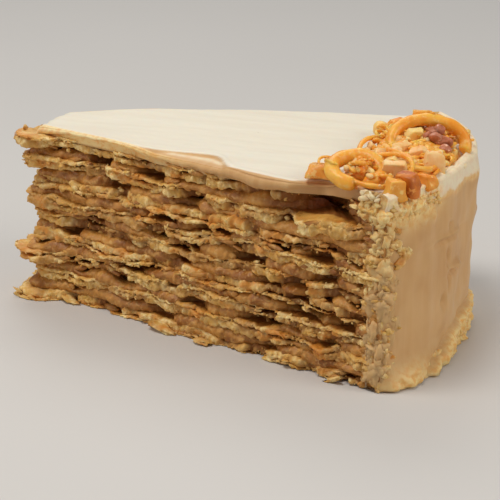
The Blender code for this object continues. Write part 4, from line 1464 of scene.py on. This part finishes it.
def add_corner_flakes(material, draw):
    """Pastry crumbs and flakes that stick to the corner, and one broken shelf of pastry in it."""
    bm = bmesh.new()
    for _ in range(160):
        add_crumb(bm, corner_spot(draw, 1.0, 53.0, 3.4), draw.uniform(0.3, 0.8) * MM, draw)
    for _ in range(80):
        size = drawn(draw, (0.8, 2.2), (0.6, 1.0), (0.5, 1.0))
        add_blob(bm, corner_spot(draw, 1.0, 52.0, 3.4), ALONG, size, draw, 0.55)
    for _ in range(20):
        add_flake(bm, corner_spot(draw, 2.0, 51.0, 3.2), draw.uniform(0.9, 2.0) * MM, draw)
    for degrees, height, length in STUCK_FLAKES:
        angle = math.radians(degrees)
        size = Vector((length, 0.35 * length, 0.6 * length)) * MM
        add_blob(bm, on_side(angle, -0.3 * MM, height * MM), round_way(angle), size, draw, 0.7, 3)
    size = Vector((4.2, 1.6, 0.7)) * MM
    add_blob(bm, lifted(on_front(5.0 * MM, -0.6 * MM), 32.0 * MM), ALONG, size, draw, 0.35, 3)
    mark(bm, edge=0.85, proud=0.8)
    finish_piece("corner_flakes", bm, material, "pastry")


def add_corner_smears(material, draw):
    """Filling smeared over the corner."""
    bm = bmesh.new()
    for _ in range(150):
        size = drawn(draw, (0.8, 2.6), (0.6, 1.2), (0.5, 1.4))
        middle = corner_spot(draw, 1.0, 50.0, 2.0) - ALONG * 1.9 * MM
        add_blob(bm, middle, ALONG, size, draw, 0.35)
    finish_piece("corner_smears", bm, material, "filling")


def build_corner(pastry, filling, icing):
    draw = random.Random(91)
    extra = random.Random(92)
    add_icing_crumbs(icing, draw)
    add_corner_cream(icing, draw, extra)
    add_rim_lumps(icing, draw, extra)
    add_corner_flakes(pastry, draw)
    add_corner_smears(filling, draw)


# Setting

# Soft round lights: name, place, size across, power, colour
LIGHTS = (
    ("overhead", (-0.20, -0.32, 1.00), 0.45, 5.35, (1.0, 0.97, 0.93)),
    ("window", (-0.35, 0.75, 0.85), 0.7, 3.2, (1.0, 0.97, 0.92)),
    ("front_fill", (-0.76, -0.44, 0.36), 0.5, 1.55, (1.0, 0.94, 0.84)),
    ("side_fill", (0.90, -0.10, 0.55), 0.5, 3.5, (1.0, 0.95, 0.88)),
)
LIT_SPOT = Vector((0.0, 0.0, 0.03))
SKY_COLOUR = (0.92, 0.95, 1.0, 1.0)
SKY_STRENGTH = 0.23

# The camera: its angle from -Y towards +X, its angle above the floor, the roll about its own axis, the spot
# on the floor that it looks at, its distance from there, and its lens in millimetres
CAMERA_AZIMUTH = math.radians(17.8)
CAMERA_ELEVATION = math.radians(17.3)
CAMERA_ROLL = math.radians(1.56)
CAMERA_TARGET = plan(-0.01686, 0.05986).to_3d()
CAMERA_DISTANCE = 0.6082
CAMERA_LENS = 129.6


def add_floor():
    """A plain pale floor."""
    bm = bmesh.new()
    bmesh.ops.create_grid(bm, x_segments=1, y_segments=1, size=3.0)
    mesh = bpy.data.meshes.new("floor")
    bm.to_mesh(mesh)
    bm.free()
    look = Look("floor", Roughness=0.6, Specular_IOR_Level=0.2)
    look.feed("Base Color", look.blend(look.noise(3.0, 2.0), srgb(205, 202, 198), srgb(212, 209, 205)))
    mesh.materials.append(look.material)
    floor = bpy.data.objects.new("floor", mesh)
    bpy.context.scene.collection.objects.link(floor)


def add_lights():
    """A faint even sky and soft studio lights."""
    world = bpy.data.worlds.new("studio")
    world.use_nodes = True
    sky = world.node_tree.nodes["Background"]
    sky.inputs["Color"].default_value = SKY_COLOUR
    sky.inputs["Strength"].default_value = SKY_STRENGTH
    bpy.context.scene.world = world
    for name, place, size, power, colour in LIGHTS:
        lamp = bpy.data.lights.new(name, "AREA")
        lamp.shape = "DISK"
        lamp.size = size
        lamp.energy = power
        lamp.color = colour
        holder = bpy.data.objects.new(name, lamp)
        holder.location = place
        holder.rotation_euler = (LIT_SPOT - Vector(place)).to_track_quat("-Z", "Y").to_euler()
        bpy.context.scene.collection.objects.link(holder)


def add_camera():
    camera = bpy.data.cameras.new("camera")
    camera.sensor_width = 36.0
    camera.lens = CAMERA_LENS
    camera.clip_start = 0.01
    holder = bpy.data.objects.new("camera", camera)
    flat = math.cos(CAMERA_ELEVATION)
    back = Vector((math.sin(CAMERA_AZIMUTH) * flat, -math.cos(CAMERA_AZIMUTH) * flat,
                   math.sin(CAMERA_ELEVATION)))
    level = heading(CAMERA_AZIMUTH).to_3d()
    upright = back.cross(level)
    right = level * math.cos(CAMERA_ROLL) + upright * math.sin(CAMERA_ROLL)
    above = upright * math.cos(CAMERA_ROLL) - level * math.sin(CAMERA_ROLL)
    pose = Matrix((right, above, back)).transposed().to_4x4()
    pose.translation = CAMERA_TARGET + back * CAMERA_DISTANCE
    holder.matrix_world = pose
    bpy.context.scene.collection.objects.link(holder)
    bpy.context.scene.camera = holder
    bpy.context.scene.view_settings.view_transform = "Standard"


def main():
    places = make_outline()
    pastry = pastry_look()
    spots = build_sheets(places, pastry)
    filling = filling_look()
    build_filling(places, filling)
    icing = icing_look()
    build_icing(icing)
    # The third colour of each caramel is its pale spots, partly painted highlights.
    caramel = caramel_look("caramel", srgb(238, 152, 36), srgb(250, 188, 72), srgb(254, 216, 140))
    looks = chopped_looks()
    build_bed(caramel_look("caramel_bed", srgb(238, 156, 52), srgb(248, 192, 96), srgb(252, 222, 158)))
    build_noodles(caramel)
    build_chunks(looks)
    build_crumbs(pastry, filling, spots)
    build_corner(pastry, filling, icing)
    add_floor()
    add_lights()
    add_camera()


main()
